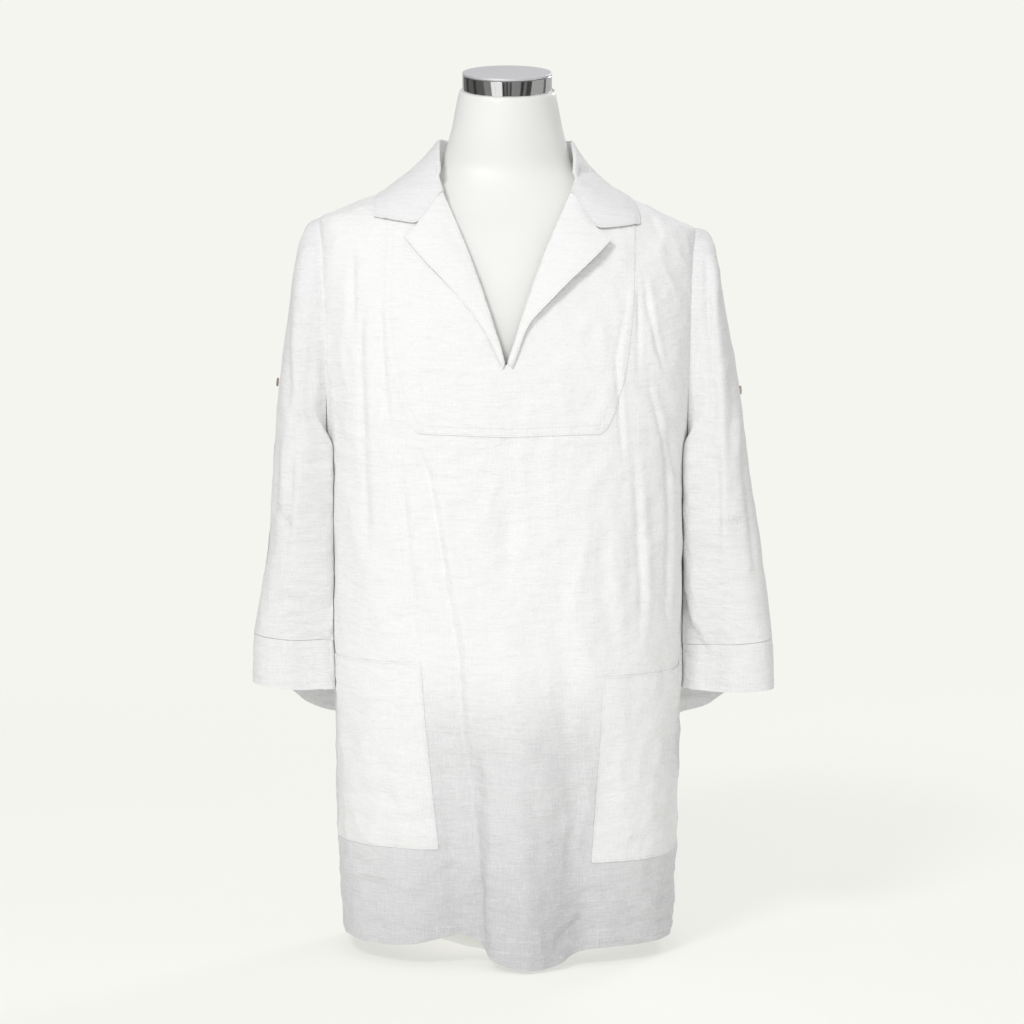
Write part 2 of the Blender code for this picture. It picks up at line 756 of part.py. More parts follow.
def build_shirt_body():
    """Panels, sleeves and cuffs, each with its points, directions and outer face."""
    rows = {}
    groups = {"body": {}, "left": {}, "right": {}}
    for side in ("front", "back"):
        groups["body"][side], rows[side] = body_panel(side)
    around = None
    for word, hand, table in (("left", -1, LEFT_SLEEVE), ("right", 1, RIGHT_SLEEVE)):
        rings, around = sleeve_points(table, hand)
        groups[word]["sleeve_" + word] = tube("sleeve_" + word, rings[: CUFF_RING + 1])
        groups[word]["cuff_" + word] = tube("cuff_" + word, rings[CUFF_RING:])
    found = {}
    for pieces in groups.values():
        table = shared_normals(pieces.values())
        places = [{place_key(p) for p in cloth.points} for cloth in pieces.values()]
        seams = places[0] & places[1]
        for name, cloth in pieces.items():
            found[name] = (cloth, [table[place_key(p)].copy() for p in cloth.points])
            set_back(cloth, seams)
    panels = {side: (rows[side], found[side][1]) for side in ("front", "back")}
    for word, hand in (("left", -1), ("right", 1)):
        join_armhole(panels, found["sleeve_" + word], around, hand)
    made = {}
    for name, (cloth, normals) in found.items():
        points, _ = finish_cloth(name, cloth, normals)
        made[name] = (cloth, normals, points[len(cloth.points) :])
    return made, rows, [angle for angle, _, _ in around]


def build_bib_and_pockets(made, rows):
    cloth, normals, outer = made["front"]
    lines = [
        [row[OUTER_COLUMNS:] for row in rows[hand][BIB_ROW:]] for hand in (-1, 1)
    ]
    bib, kept = sub_sheet("bib", cloth, lines, outer, normals, LAYER_GAP)
    points, _ = finish_cloth("bib", bib, kept)
    bib_outer = (points[len(bib.points) :], bib.faces)
    low, high = POCKET_ROWS
    start, end = POCKET_COLUMNS
    for word, hand in (("left", -1), ("right", 1)):
        part = [row[start : end + 1] for row in rows[hand][low : high + 1]]
        name = "pocket_" + word
        pocket, kept = sub_sheet(name, cloth, [part], outer, normals, LAYER_GAP)
        finish_cloth(name, pocket, kept)
    return bib_outer


def tree_of(*meshes):
    points = []
    faces = []
    for some_points, some_faces in meshes:
        start = len(points)
        points += [tuple(p) for p in some_points]
        faces += [tuple(i + start for i in face) for face in some_faces]
    return BVHTree.FromPolygons(points, faces)


def on_front(tree, x, z, lift):
    """Point at (x, z) that lies lift in front of what is there."""
    hit, normal, _, _ = tree.ray_cast(Vector((x, -1, z)), Vector((0, 1, 0)))
    return hit + normal * lift


def pushed_clear(tree, point, gap):
    """The point, moved out where it would come closer than gap to the tree's faces."""
    near, normal, _, distance = tree.find_nearest(point)
    if distance < gap or (point - near).dot(normal) < 0 and distance < gap * 8:
        return near + normal * gap
    return point


def laid_on(tree, point, gap):
    """The point, brought to gap above the tree's faces."""
    near, normal, _, _ = tree.find_nearest(point)
    return near + normal * gap


def gorge_path(hand, drop):
    """From the roll line over the notch, with the notch as one of its points."""
    step = NECK_STEPS[GORGE_ROW - UNDERARM_ROW]
    start = Vector((step.x_front, step.z_front))
    notch = Vector((NOTCH_X, NOTCH_Z))
    found = []
    for i in range(NOTCH_COLUMN + 1):
        place = start.lerp(notch, i / NOTCH_COLUMN)
        found.append((hand * place.x, place.y - drop))
    return found


def build_lapel(word, hand, made, rows, tree):
    """Folded facing on one side of the V, from its fold out to its free edge."""
    _, normals, outer = made["front"]
    lapel = Cloth("lapel_" + word)
    numbers = []
    for index, free in zip(range(V_ROW, GORGE_ROW + 1), LAPEL_EDGE):
        edge = rows[hand][index][-1]
        above = rows[hand][index + 1][-1]
        share = LAPEL_START if index == V_ROW else 0.0
        normal = normals[edge]
        if index == V_ROW:
            normal = normals[above]
        fold = outer[edge].lerp(outer[above], share) - Vector((hand * LAPEL_INSET, 0, 0))
        top = fold + normal * (LAYER_GAP + CLOTH + LYING_GAP)
        line = [lapel.add(fold), lapel.add(top)]
        lift = free.lift_left if hand < 0 else free.lift_right
        if index == GORGE_ROW:
            places = gorge_path(hand, GORGE_GAP)[1:]
            tip = (hand * free.x, free.z)
            steps = LAPEL_COLUMNS - NOTCH_COLUMN
            start = places[-1]
            for i in range(1, steps + 1):
                share = i / steps
                places.append((lerp(start[0], tip[0], share), lerp(start[1], tip[1], share)))
        else:
            start = (fold.x, fold.z)
            places = []
            for i in range(1, LAPEL_COLUMNS + 1):
                share = i / LAPEL_COLUMNS
                x = lerp(start[0], hand * free.x, share)
                places.append((x, lerp(start[1], free.z, share)))
        for i, (x, z) in enumerate(places, start=1):
            share = i / LAPEL_COLUMNS
            raised = lift * share + LAPEL_ROLL * math.sin(math.pi * share)
            line.append(lapel.add(on_front(tree, x, z, LYING_GAP + raised)))
        numbers.append(line)
    lapel.grid(numbers)
    lapel.sheet_out(lambda point: Vector((point.x, 0, point.z)))
    return finish_cloth(lapel.name, lapel, own_normals(lapel), CLOTH * 0.9)


def neck_edge_path(made_points, rows_front, rows_back, hand):
    """Places of the neck seam from the centre back to the gorge."""
    front_outer, back_outer = made_points
    top = len(rows_front[hand]) - 1
    back = [back_outer[rows_back[hand][i][-1]] for i in range(BACK_NECK_ROW, top)]
    front = [front_outer[rows_front[hand][i][-1]] for i in range(top - 1, GORGE_ROW - 1, -1)]
    corner = back_outer[rows_back[hand][top][-1]].lerp(front_outer[rows_front[hand][top][-1]], 0.5)
    return back + [corner] + front


def collar_line(hand, seam, station, number, tree):
    """Points of one section of the collar: up the stand, over the fold, down the leaf."""
    out = Vector((seam.x, seam.y, 0)).normalized() if number else Vector((0, 1, 0))
    ahead = ease(-seam.y / LAPEL_AHEAD)
    foot = seam + Vector((-hand * LAPEL_INSET * ahead, 0, COLLAR_SEAM_RISE))
    lean = station.lean - (station.fold_in if hand > 0 else 0)
    top = foot + Vector((0, 0, station.rise)) + out * lean
    edge_x = station.edge_x - (station.edge_in if hand > 0 else 0)
    edge = laid_on(tree, Vector((hand * edge_x, station.edge_y, station.edge_z)), LEAF_GAP)
    below = Vector((0, 0, FOLD_RADIUS * 1.5))
    line = [foot, foot.lerp(top, 0.5), top - below, top + out * FOLD_RADIUS]
    start = top + out * FOLD_RADIUS * 2 - below
    for j in range(LEAF_SEGMENTS + 1):
        share = j / LEAF_SEGMENTS
        bulge = LEAF_BULGE * math.sin(math.pi * share)
        place = start.lerp(edge, share) + (out + Vector((0, 0, 1))) * bulge
        line.append(pushed_clear(tree, place, LEAF_GAP))
    return line


def build_collar(made, rows_front, rows_back, tree):
    """Stand and leaf in one strip round the neck, folded over at the top."""
    collar = Cloth("collar")
    columns = {}
    for hand in (-1, 1):
        outers = (made["front"][2], made["back"][2])
        path = neck_edge_path(outers, rows_front, rows_back, hand)
        lengths = [0.0]
        for a, b in zip(path, path[1:]):
            lengths.append(lengths[-1] + (b - a).length)

        def seam_at(share):
            at = lengths[-1] * share
            i = max(j for j in range(len(path) - 1) if lengths[j] <= at + 1e-9)
            return path[i].lerp(path[i + 1], (at - lengths[i]) / (lengths[i + 1] - lengths[i]))

        count = len(COLLAR_STATIONS)
        found = []
        for number, station in enumerate(COLLAR_STATIONS):
            found.append(collar_line(hand, seam_at(number / count), station, number, tree))
        last = found[-1]
        end = gorge_end(hand, made, rows_front, tree)
        foot_shift = last[0] - seam_at((count - 1) / count)
        for step in range(1, FRONT_LINES):
            share = step / FRONT_LINES
            foot = seam_at((count - 1 + share) / count) + foot_shift
            shift = foot - last[0].lerp(end[0], share)
            line = [p.lerp(q, share) + shift for p, q in zip(last[:4], end[:4])]
            for p, q in zip(last[4:], end[4:]):
                line.append(pushed_clear(tree, p.lerp(q, share), LEAF_GAP))
            found.append(line)
        found.append(end)
        columns[hand] = found
    order = columns[-1][::-1] + columns[1][1:]
    numbers = [[collar.add(p) for p in line] for line in order]
    collar.grid(numbers)
    collar.sheet_out(lambda point: Vector((0, 0, UNDERARM_Z)))
    return finish_cloth("collar", collar, own_normals(collar))


def gorge_end(hand, made, rows_front, tree):
    """The collar's front end: along the gorge to the notch, then to the leaf's tip."""
    _, normals, outer = made["front"]
    edge = rows_front[hand][GORGE_ROW][-1]
    fold = outer[edge] + Vector((-hand * LAPEL_INSET, 0, COLLAR_SEAM_RISE))
    height = LAYER_GAP + CLOTH + LYING_GAP
    places = gorge_path(hand, 0.0)
    x0, z0 = places[0]
    line = [fold, fold + normals[edge] * height / 2, fold + normals[edge] * height]
    line.append(on_front(tree, x0 + hand * GORGE_TURN, z0 + COLLAR_SEAM_RISE, LYING_GAP))
    for i in range(1, LEAF_SEGMENTS + 2):
        if i <= NOTCH_COLUMN:
            x, z = places[i]
        else:
            share = (i - NOTCH_COLUMN) / (LEAF_SEGMENTS + 1 - NOTCH_COLUMN)
            x = lerp(places[-1][0], hand * LEAF_TIP_X, share)
            z = lerp(places[-1][1], LEAF_TIP_Z, share)
        line.append(on_front(tree, x, z, lerp(LYING_GAP, LEAF_GAP, i / LEAF_SEGMENTS)))
    return line


def build_tab_and_button(word, hand, made, angles):
    """Strap down the outer side of the sleeve, with a button at its upper end."""
    _, normals, outer = made["sleeve_" + word]
    count = len(angles)
    half = math.radians(TAB_HALF_ANGLE)
    step_front = angles[1] - angles[0]
    step_back = angles[0] + 2 * math.pi - angles[-1]
    tab = Cloth("tab_" + word)
    lines = []
    for ring in range(TAB_TOP_RING, TAB_LOW_RING + 1):
        top = ring * count
        line = []
        ahead = (top + 1, half / step_front)
        behind = (top + count - 1, half / step_back)
        for other, share in (ahead, (top, 0), behind):
            place = outer[top].lerp(outer[other], share)
            normal = normals[top].lerp(normals[other], share).normalized()
            line.append(tab.add(place + normal * LAYER_GAP))
        lines.append(line)
    tab.grid(lines)
    tab.sheet_out(lambda point: Vector((hand * SHOULDER_TIP_X, 0, point.z)))
    finish_cloth(tab.name, tab, own_normals(tab), CLOTH)

    top = TAB_TOP_RING * count
    down = (outer[top + count] - outer[top]).normalized()
    normal = own_normals(tab)[1]
    normal = (normal - down * normal.dot(down)).normalized()
    centre = outer[top] + down * BUTTON_DROP
    centre += normal * (LAYER_GAP + CLOTH + BUTTON_GAP + BUTTON_THICK / 2)
    button = bmesh.new()
    bmesh.ops.create_cone(
        button,
        cap_ends=True,
        segments=BUTTON_SEGMENTS,
        radius1=BUTTON_RADIUS,
        radius2=BUTTON_RADIUS,
        depth=BUTTON_THICK,
    )
    rims = [edge for edge in button.edges if len({round(v.co.z, 6) for v in edge.verts}) == 1]
    bmesh.ops.bevel(
        button, geom=rims, offset=BUTTON_ROUND, segments=2, affect="EDGES", profile=0.5
    )
    mesh = bpy.data.meshes.new("button_" + word)
    button.to_mesh(mesh)
    button.free()
    turn = Vector((0, 0, 1)).rotation_difference(normal).to_matrix().to_4x4()
    mesh.transform(Matrix.Translation(settled(centre)) @ turn)
    mesh.materials.append(material("button_" + word, (0.62, 0.47, 0.32), 0.35))
    mesh.shade_smooth()
    mesh.set_sharp_from_angle(angle=SMOOTH_ANGLE)
    parts.objects.link(bpy.data.objects.new("button_" + word, mesh))


def ring_points(ring, tilt):
    points = []
    for i in range(FORM_SEGMENTS):
        angle = 2 * math.pi * i / FORM_SEGMENTS
        cosine, sine = math.cos(angle), math.sin(angle)
        x = ring.half_width * math.copysign(abs(cosine) ** (2 / ring.power), cosine)
        deep = math.copysign(abs(sine) ** (2 / ring.power), sine)
        y = deep * (ring.back if sine > 0 else ring.front)
        points.append(Vector((x, y, ring.z + math.tan(tilt) * y)))
    return points


def form_half_width(z, ring):
    """The form's ridge runs just under the shirt's shoulder seam, up to the neck."""
    if z > NECK_POINT_Z:
        return ring.half_width
    return half_width(z + RIDGE_DROP)


def build_form():
    rings = []
    for z in FORM_LEVELS:
        rings.append(ring_points(FORM.at(z), 0.0))
    high = NECK.z[-1]
    for z in NECK_LEVELS:
        ring = NECK.at(z)
        ring = ring._replace(half_width=form_half_width(z, ring))
        share = ease((z - NECK_TILT_FROM) / (high - NECK_TILT_FROM))
        rings.append(ring_points(ring, CAP_TILT * share))
    points = [p for ring in rings for p in ring]
    faces = []
    for i in range(len(rings) - 1):
        for j in range(FORM_SEGMENTS):
            a = i * FORM_SEGMENTS + j
            b = i * FORM_SEGMENTS + (j + 1) % FORM_SEGMENTS
            faces.append((a, b, b + FORM_SEGMENTS, a + FORM_SEGMENTS))
    faces.append(tuple(range(FORM_SEGMENTS))[::-1])
    top = (len(rings) - 1) * FORM_SEGMENTS
    faces.append(tuple(top + j for j in range(FORM_SEGMENTS)))
    look = material("form_white", (0.91, 0.91, 0.90), 0.6)
    add_object("form_torso", points, faces, look)


def build_cap():
    tilt = Euler((CAP_TILT, 0, 0)).to_matrix()
    up = tilt @ Vector((0, 0, 1))
    chrome = material("chrome", (0.80, 0.80, 0.80), 0.08, 1.0)
    satin = material("satin_steel", (0.62, 0.62, 0.66), 0.35, 1.0)
    looks = (("neck_band", BAND_HEIGHT, chrome), ("cap_top", PLATE_HEIGHT, satin))
    base = Vector((0, 0, CAP_BASE_Z)) + up * PART_GAP
    for name, height, look in looks:
        work = bmesh.new()
        bmesh.ops.create_cone(
            work,
            cap_ends=True,
            segments=CAP_SEGMENTS,
            radius1=CAP_RADIUS,
            radius2=CAP_RADIUS,
            depth=height,
        )
        mesh = bpy.data.meshes.new(name)
        work.to_mesh(mesh)
        work.free()
        place = Matrix.Translation(base + up * height / 2) @ tilt.to_4x4()
        mesh.materials.append(look)
        made = bpy.data.objects.new(name, mesh)
        made.matrix_world = place
        parts.objects.link(made)
        round_edges = made.modifiers.new("round edges", "BEVEL")
        round_edges.width = CAP_ROUND
        round_edges.segments = 2
        round_edges.limit_method = "ANGLE"
        mesh.shade_smooth()
        mesh.set_sharp_from_angle(angle=SMOOTH_ANGLE)
        base += up * (height + PART_GAP)


def main():
    made, rows, angles = build_shirt_body()
    bib_outer = build_bib_and_pockets(made, rows["front"])
    sheets = [(made[side][2], made[side][0].faces) for side in ("front", "back")]
    tree = tree_of(*sheets, bib_outer)
    for word, hand in (("left", -1), ("right", 1)):
        build_lapel(word, hand, made, rows["front"], tree)
        build_tab_and_button(word, hand, made, angles)
    build_collar(made, rows["front"], rows["back"], tree)
    build_form()
    build_cap()


main()
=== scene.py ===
# %% [markdown]
# # A long linen shirt on a dress form
# The shirt is a loose white linen pull-on: a front and a back, a bib let into
# the front, a folded collar with two lapels, two sleeves with turned-up cuffs
# held by a buttoned tab, and two patch pockets. It stands on a smooth white
# form with a polished neck ring. The solids give every piece its place. Here
# each one is made again as thin cloth, with its creases, stitches and weave.

# %% Load the frame
import math
import bmesh
import bpy
import numpy as np
from mathutils import Matrix, Vector, noise
from mathutils.bvhtree import BVHTree
from mathutils.kdtree import KDTree


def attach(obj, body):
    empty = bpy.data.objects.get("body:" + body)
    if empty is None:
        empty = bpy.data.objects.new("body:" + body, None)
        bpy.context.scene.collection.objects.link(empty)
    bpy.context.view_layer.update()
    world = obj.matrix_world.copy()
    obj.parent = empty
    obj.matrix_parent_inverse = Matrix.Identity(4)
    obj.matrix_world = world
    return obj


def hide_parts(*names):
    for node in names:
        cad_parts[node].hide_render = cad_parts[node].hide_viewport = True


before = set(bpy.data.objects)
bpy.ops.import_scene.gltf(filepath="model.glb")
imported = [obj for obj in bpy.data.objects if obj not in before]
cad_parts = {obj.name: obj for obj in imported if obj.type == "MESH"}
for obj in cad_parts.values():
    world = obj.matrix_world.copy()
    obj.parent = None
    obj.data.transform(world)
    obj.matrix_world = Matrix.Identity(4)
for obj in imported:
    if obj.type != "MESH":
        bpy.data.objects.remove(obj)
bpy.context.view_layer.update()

# %% [markdown]
# ## The camera
# The photograph looks at the middle of the shirt from a little above it, from
# far enough away that the sides hardly lean. The view could be found by trying
# lenses. Here the camera is turned to one point, and the lens follows from how
# much of the shirt one dot of the picture covers at that point.

# %% Camera
STAND = Vector((0.0, -3.30, 0.720))
LOOK_AT = Vector((0.005, 0.0, 0.453))
METRES_PER_DOT = 0.00104
DOTS_ACROSS = 1024
SENSOR = 36.0

eye = bpy.data.cameras.new("eye")
eye.sensor_width = SENSOR
eye.lens = SENSOR * (LOOK_AT - STAND).length / (METRES_PER_DOT * DOTS_ACROSS)
camera = bpy.data.objects.new("camera", eye)
camera.location = STAND
camera.rotation_euler = (LOOK_AT - STAND).to_track_quat("-Z", "Y").to_euler()
bpy.context.collection.objects.link(camera)
bpy.context.scene.camera = camera
print("lens", round(eye.lens, 1), "mm")

# %% [markdown]
# ## Small helpers for meshes
# An operator works on whatever is selected, so each step first clears the
# selection and picks one object. Modifiers are applied as soon as they are
# set, so that the next step sees the real shape.

# %% Helpers for objects
def pick(thing):
    """Selects one object alone and makes it the active one."""
    bpy.ops.object.select_all(action="DESELECT")
    thing.select_set(True)
    bpy.context.view_layer.objects.active = thing


def modify(thing, kind, **settings):
    """Adds a modifier with these settings and applies it."""
    modifier = thing.modifiers.new(kind.title(), kind)
    for name, value in settings.items():
        setattr(modifier, name, value)
    pick(thing)
    bpy.ops.object.modifier_apply(modifier=modifier.name)


def object_from(name, work):
    """A new object from a bmesh, which is freed."""
    mesh = bpy.data.meshes.new(name)
    work.to_mesh(mesh)
    work.free()
    thing = bpy.data.objects.new(name, mesh)
    bpy.context.collection.objects.link(thing)
    return thing


def smooth(thing, angle=50):
    """Smooth shading that keeps edges sharper than the angle."""
    pick(thing)
    bpy.ops.object.shade_smooth_by_angle(angle=math.radians(angle))


# %% [markdown]
# Many steps ask which point of a piece is nearest, or where a ray meets it. A
# search tree over its faces answers both quickly.

# %% Search trees
def tree_of(things):
    """One search tree over several meshes."""
    corners, faces = [], []
    for thing in things:
        start = len(corners)
        corners += [v.co.copy() for v in thing.data.vertices]
        faces += [[start + i for i in p.vertices] for p in thing.data.polygons]
    return BVHTree.FromPolygons(corners, faces)


def node_tree(*names):
    """One search tree over several of the solids."""
    return tree_of([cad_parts[name] for name in names])


# %% [markdown]
# ## One face of a cloth solid
# Each cloth solid is a wall about a millimetre thick: an inner face, an outer
# face and a narrow rim. Creases laid into both faces would soon cross, so one
# face is taken and made thick again at the end. The rim's faces are those with
# an edge as long as the wall is thick. With them gone, the solid falls into two
# sheets. The smaller one is kept, its triangles are joined in pairs, and it is
# turned to face the way in which the cloth will grow.

# %% Sheets from the solids
CLOTH = 0.0012
LAPEL_CLOTH = 0.00108
RIM_SLACK = 0.00013
MERGE = 2e-5


def loose_sheets(work):
    """The groups of faces that hang together."""
    left = set(work.faces)
    groups = []
    while left:
        stack = [left.pop()]
        group = set(stack)
        while stack:
            for edge in stack.pop().edges:
                for face in edge.link_faces:
                    if face in left:
                        left.discard(face)
                        group.add(face)
                        stack.append(face)
        groups.append(group)
    return groups


# %% [markdown]
# One function does all of that for one solid. It also gives the sheet's area,
# which is the area of cloth that a maker would cut for it.

# %% One sheet
BIG_SHARE = 0.5


def sheet_of(node, name, wall=CLOTH):
    """An open sheet of quads on a solid's inner face, and its area."""
    work = bmesh.new()
    work.from_mesh(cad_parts[node].data)
    bmesh.ops.remove_doubles(work, verts=work.verts, dist=MERGE)
    rim = [
        face
        for face in work.faces
        if any(abs(edge.calc_length() - wall) < RIM_SLACK for edge in face.edges)
    ]
    bmesh.ops.delete(work, geom=rim, context="FACES")
    groups = loose_sheets(work)
    most = max(len(group) for group in groups)
    big = [group for group in groups if len(group) > BIG_SHARE * most]
    keep = min(big, key=lambda group: sum(face.calc_area() for face in group))
    drop = [face for face in work.faces if face not in keep]
    bmesh.ops.delete(work, geom=drop, context="FACES")
    bmesh.ops.join_triangles(
        work, faces=work.faces, angle_face_threshold=math.pi, angle_shape_threshold=math.pi
    )
    bmesh.ops.reverse_faces(work, faces=work.faces)
    area = sum(face.calc_area() for face in work.faces)
    odd = sum(len(face.verts) == 3 for face in work.faces)
    print(f"{name}: {len(big)} sheets, {len(work.faces)} faces, {odd} odd, {area:.4f} m2")
    return object_from(name, work), area


def refine(sheet, levels):
    """Smooth subdivision that keeps the sheet's corners."""
    modify(
        sheet,
        "SUBSURF",
        levels=levels,
        render_levels=levels,
        boundary_smooth="PRESERVE_CORNERS",
    )


# %% [markdown]
# ## Creases placed by hand
# Linen creases where it bends and where it was folded. Its creases could be
# sculpted or simulated, but a table of lines can be read, and moved by a
# millimetre. A row holds the side of the shirt, the line's points in
# millimetres, the trough's width and depth, the share of that depth which
# rises beside it, and the ends that run on under another piece, "a" for the
# first and "b" for the last. Other ends die away, and so does a crease where
# the cloth turns away from its side.

# %% Crease maths
SIDES = {
    "front": ((0, -1, 0), (0, 2)),
    "back": ((0, 1, 0), (0, 2)),
    "left": ((-1, 0, 0), (1, 2)),
    "right": ((1, 0, 0), (1, 2)),
}
MM = 1000
VERY_FAR = 9.0
FADE_SHARE = 0.35
TIP_WIDTH = 0.75
RIDGE_AWAY = 1.6
RIDGE_WIDTH = 1.15


def ease(value, low, high):
    """A smooth step from 0 at low to 1 at high."""
    share = np.clip((value - low) / (high - low), 0, 1)
    return share * share * (3 - 2 * share)


def crease(points, line, width, depth, rise, runs_on):
    """How far one crease lifts or sinks each point, in metres."""
    line = np.array(line, float) / MM
    steps = np.linalg.norm(line[1:] - line[:-1], axis=1)
    starts = np.concatenate(([0], np.cumsum(steps)))
    away = np.full(len(points), VERY_FAR)
    side = np.zeros(len(points))
    along = np.zeros(len(points))
    for index, step in enumerate(steps):
        way = line[index + 1] - line[index]
        share = np.clip((points - line[index]) @ way / (step * step), 0, 1)
        off = points - line[index] - share[:, None] * way
        far = np.hypot(off[:, 0], off[:, 1])
        near = far < away
        away = np.where(near, far, away)
        side = np.where(near, np.sign(way[0] * off[:, 1] - way[1] * off[:, 0]), side)
        along = np.where(near, (starts[index] + share * step) / starts[-1], along)
    fade = np.ones(len(points))
    if "a" not in runs_on:
        fade = fade * ease(along, 0, FADE_SHARE)
    if "b" not in runs_on:
        fade = fade * ease(1 - along, 0, FADE_SHARE)
    wide = width / MM * (TIP_WIDTH + (1 - TIP_WIDTH) * fade)
    trough = -np.exp(-((away / wide) ** 2))
    ridge = rise * np.exp(-(((away * side - RIDGE_AWAY * wide) / (RIDGE_WIDTH * wide)) ** 2))
    return (trough + ridge) * fade * depth / MM


# %% [markdown]
# Between its creases linen is never flat. Smooth noise gives it soft waves. The
# same noise folded over at zero gives narrow ridges, as in crumpled cloth.

# %% Uneven waves
RUMPLE_TOP = 0.55
RUMPLE_SLOPE = 2.2


def rumple(points, tall, size, seed, sharp):
    """Uneven waves of this height and width; sharp ones have narrow ridges."""
    stretch = Vector((1 / size, 1 / size, 1 / tall))
    shift = Vector((seed, seed * 0.7, seed * 1.3))
    waves = np.array([noise.noise(Vector(p) * stretch + shift) for p in points])
    return RUMPLE_TOP - RUMPLE_SLOPE * np.abs(waves) if sharp else waves


# %% [markdown]
# ## Points as tables
# A sheet has tens of thousands of points, and moving them one by one would be
# slow. They are read into a table, moved by sums on whole columns and written
# back. Where cloth leans on cloth, its points are drawn towards the other
# surface: wholly where that is near, and less and less farther off.

# %% Points in and out of a sheet
def arrays(sheet):
    """A sheet's points and normals as two tables."""
    count = len(sheet.data.vertices)
    places = np.empty(count * 3)
    sheet.data.vertices.foreach_get("co", places)
    normals = np.empty(count * 3)
    sheet.data.vertex_normals.foreach_get("vector", normals)
    return places.reshape(-1, 3), normals.reshape(-1, 3)


def place(sheet, points):
    """Writes a sheet's points back."""
    sheet.data.vertices.foreach_set("co", points.ravel())
    sheet.data.update()


def draw_to(points, tree, near, far, stop, most=1.0):
    """Draws points to a surface: by most within near, by nothing from far on."""
    for index, p in enumerate(points):
        spot, _, _, gap = tree.find_nearest(Vector(p), far)
        if spot is not None and gap > stop:
            share = most * (1 - float(ease(gap, near, far)))
            points[index] = p + (np.array(spot) - p) * (1 - stop / gap) * share
    return points


# %% [markdown]
# The neck opening ends in a sharp point, which subdivision rounds off. A crease
# weight would keep it, but only on a sheet that has a vertex there. So its foot
# is drawn down and together again on every sheet that runs round it.

# %% The neck opening's foot
V_FOOT = (-0.0020, 0.6145)
V_DEEPER = 0.0090
V_CLOSER = 0.65
V_WIDE = (0.018, 0.022)
V_TIGHT = (0.010, 0.016)
V_FRONT = -0.10


def sharpen_opening(sheet):
    """Draws the foot of the neck opening down to a point."""
    points, _ = arrays(sheet)
    across = points[:, 0] - V_FOOT[0]
    up = points[:, 2] - V_FOOT[1]
    ahead = points[:, 1] < V_FRONT
    wide = ahead * np.exp(-((across / V_WIDE[0]) ** 2) - (up / V_WIDE[1]) ** 2)
    tight = ahead * np.exp(-((across / V_TIGHT[0]) ** 2) - (up / V_TIGHT[1]) ** 2)
    points[:, 2] -= V_DEEPER * wide
    points[:, 0] -= across * V_CLOSER * tight
    place(sheet, points)


# %% [markdown]
# ## Laying creases into a sheet
# Creases move a sheet's points along its own normals, so they follow the cloth
# round the body. A displace modifier could do that for one pattern, but not for
# a table of lines. Uneven waves add the drape and the crumple between the
# creases: a row holds their height and size in millimetres, how far they lift,
# a seed, whether their ridges are sharp, and the height that they stay under.
# All of it dies away where a neighbour is close, so that seams stay closed, and
# no point comes nearer to the form than a millimetre and a half. Two factors
# make every crease of the tables deeper and narrower at once.

# %% Laying creases into a sheet
FORM_GAP = 0.0015
FORM_REACH = 0.02
ROOM = 0.012
TOUCHING = 0.0004
FACING = (0.05, 0.5)
WAVE_FADE = 0.06
DEEPEN = 1.25
NARROW = 0.72
form_tree = node_tree("form_torso")


def room_near(points, tree):
    """0 where a neighbour touches, 1 where it is far."""
    gaps = []
    for p in points:
        found = tree.find_nearest(Vector(p), ROOM)
        gaps.append(ROOM if found[0] is None else found[3])
    return ease(np.array(gaps), TOUCHING, ROOM)


def clear_of_form(points):
    """Points that are too near to the form, moved off it."""
    for index, p in enumerate(points):
        spot, normal, _, gap = form_tree.find_nearest(Vector(p), FORM_REACH)
        if spot is None:
            continue
        height = (Vector(p) - spot).dot(normal)
        if height < FORM_GAP:
            points[index] = p + np.array(normal * (FORM_GAP - height))
    return points


def lay_creases(sheet, creases, neighbours, waves):
    """Creases, waves and crumple in one sheet."""
    points, normals = arrays(sheet)
    move = np.zeros(len(points))
    for side, line, width, depth, rise, runs_on in creases:
        facing, axes = SIDES[side]
        towards = ease(normals @ np.array(facing, float), *FACING)
        dent = crease(points[:, axes], line, width * NARROW, depth * DEEPEN, rise, runs_on)
        move += towards * dent
    for tall, size, lift, seed, sharp, below in waves:
        wave = lift / MM * rumple(points, tall / MM, size / MM, seed, sharp)
        move += wave if below is None else wave * ease(below - points[:, 2], 0, WAVE_FADE)
    move *= room_near(points, node_tree(*neighbours))
    points = points + normals * move[:, None]
    place(sheet, clear_of_form(points))
    print(f"{sheet.name}: {move.min() * MM:.1f} to {move.max() * MM:.1f} mm")


# %% [markdown]
# ## Hems, stitch lines and thickness
# A shader can draw a pressed line only if it knows how far it is from the
# cloth's edge. An unwrapped sheet could carry a painted line. Here the distance
# itself is kept on every point: from any edge, and from the hem alone. A hem is
# cloth turned up on itself, so it also stands a little thicker. A third number
# says how much painted shade goes into the linen's colour: below the hips the
# form narrows, and a single layer there has only shade behind it, which is
# painted on here instead of showing through the cloth. The skirt gets most of
# it near the hem, and sleeves, cuffs and collar a small even share of painted
# shade.

# %% Edges and distances
HEM_HEIGHT = 0.09
SIDE_SEAM = 0.0015


def edge_loops(sheet):
    """The sheet's open edges as ordered rings of point numbers."""
    work = bmesh.new()
    work.from_mesh(sheet.data)
    work.verts.ensure_lookup_table()
    nexts = {}
    for edge in work.edges:
        if edge.is_boundary:
            loop = edge.link_loops[0]
            nexts[loop.vert.index] = loop.link_loop_next.vert.index
    work.free()
    rings = []
    while nexts:
        first = next(iter(nexts))
        ring = [first]
        while ring[-1] in nexts:
            ring.append(nexts.pop(ring[-1]))
        rings.append(ring)
    return rings


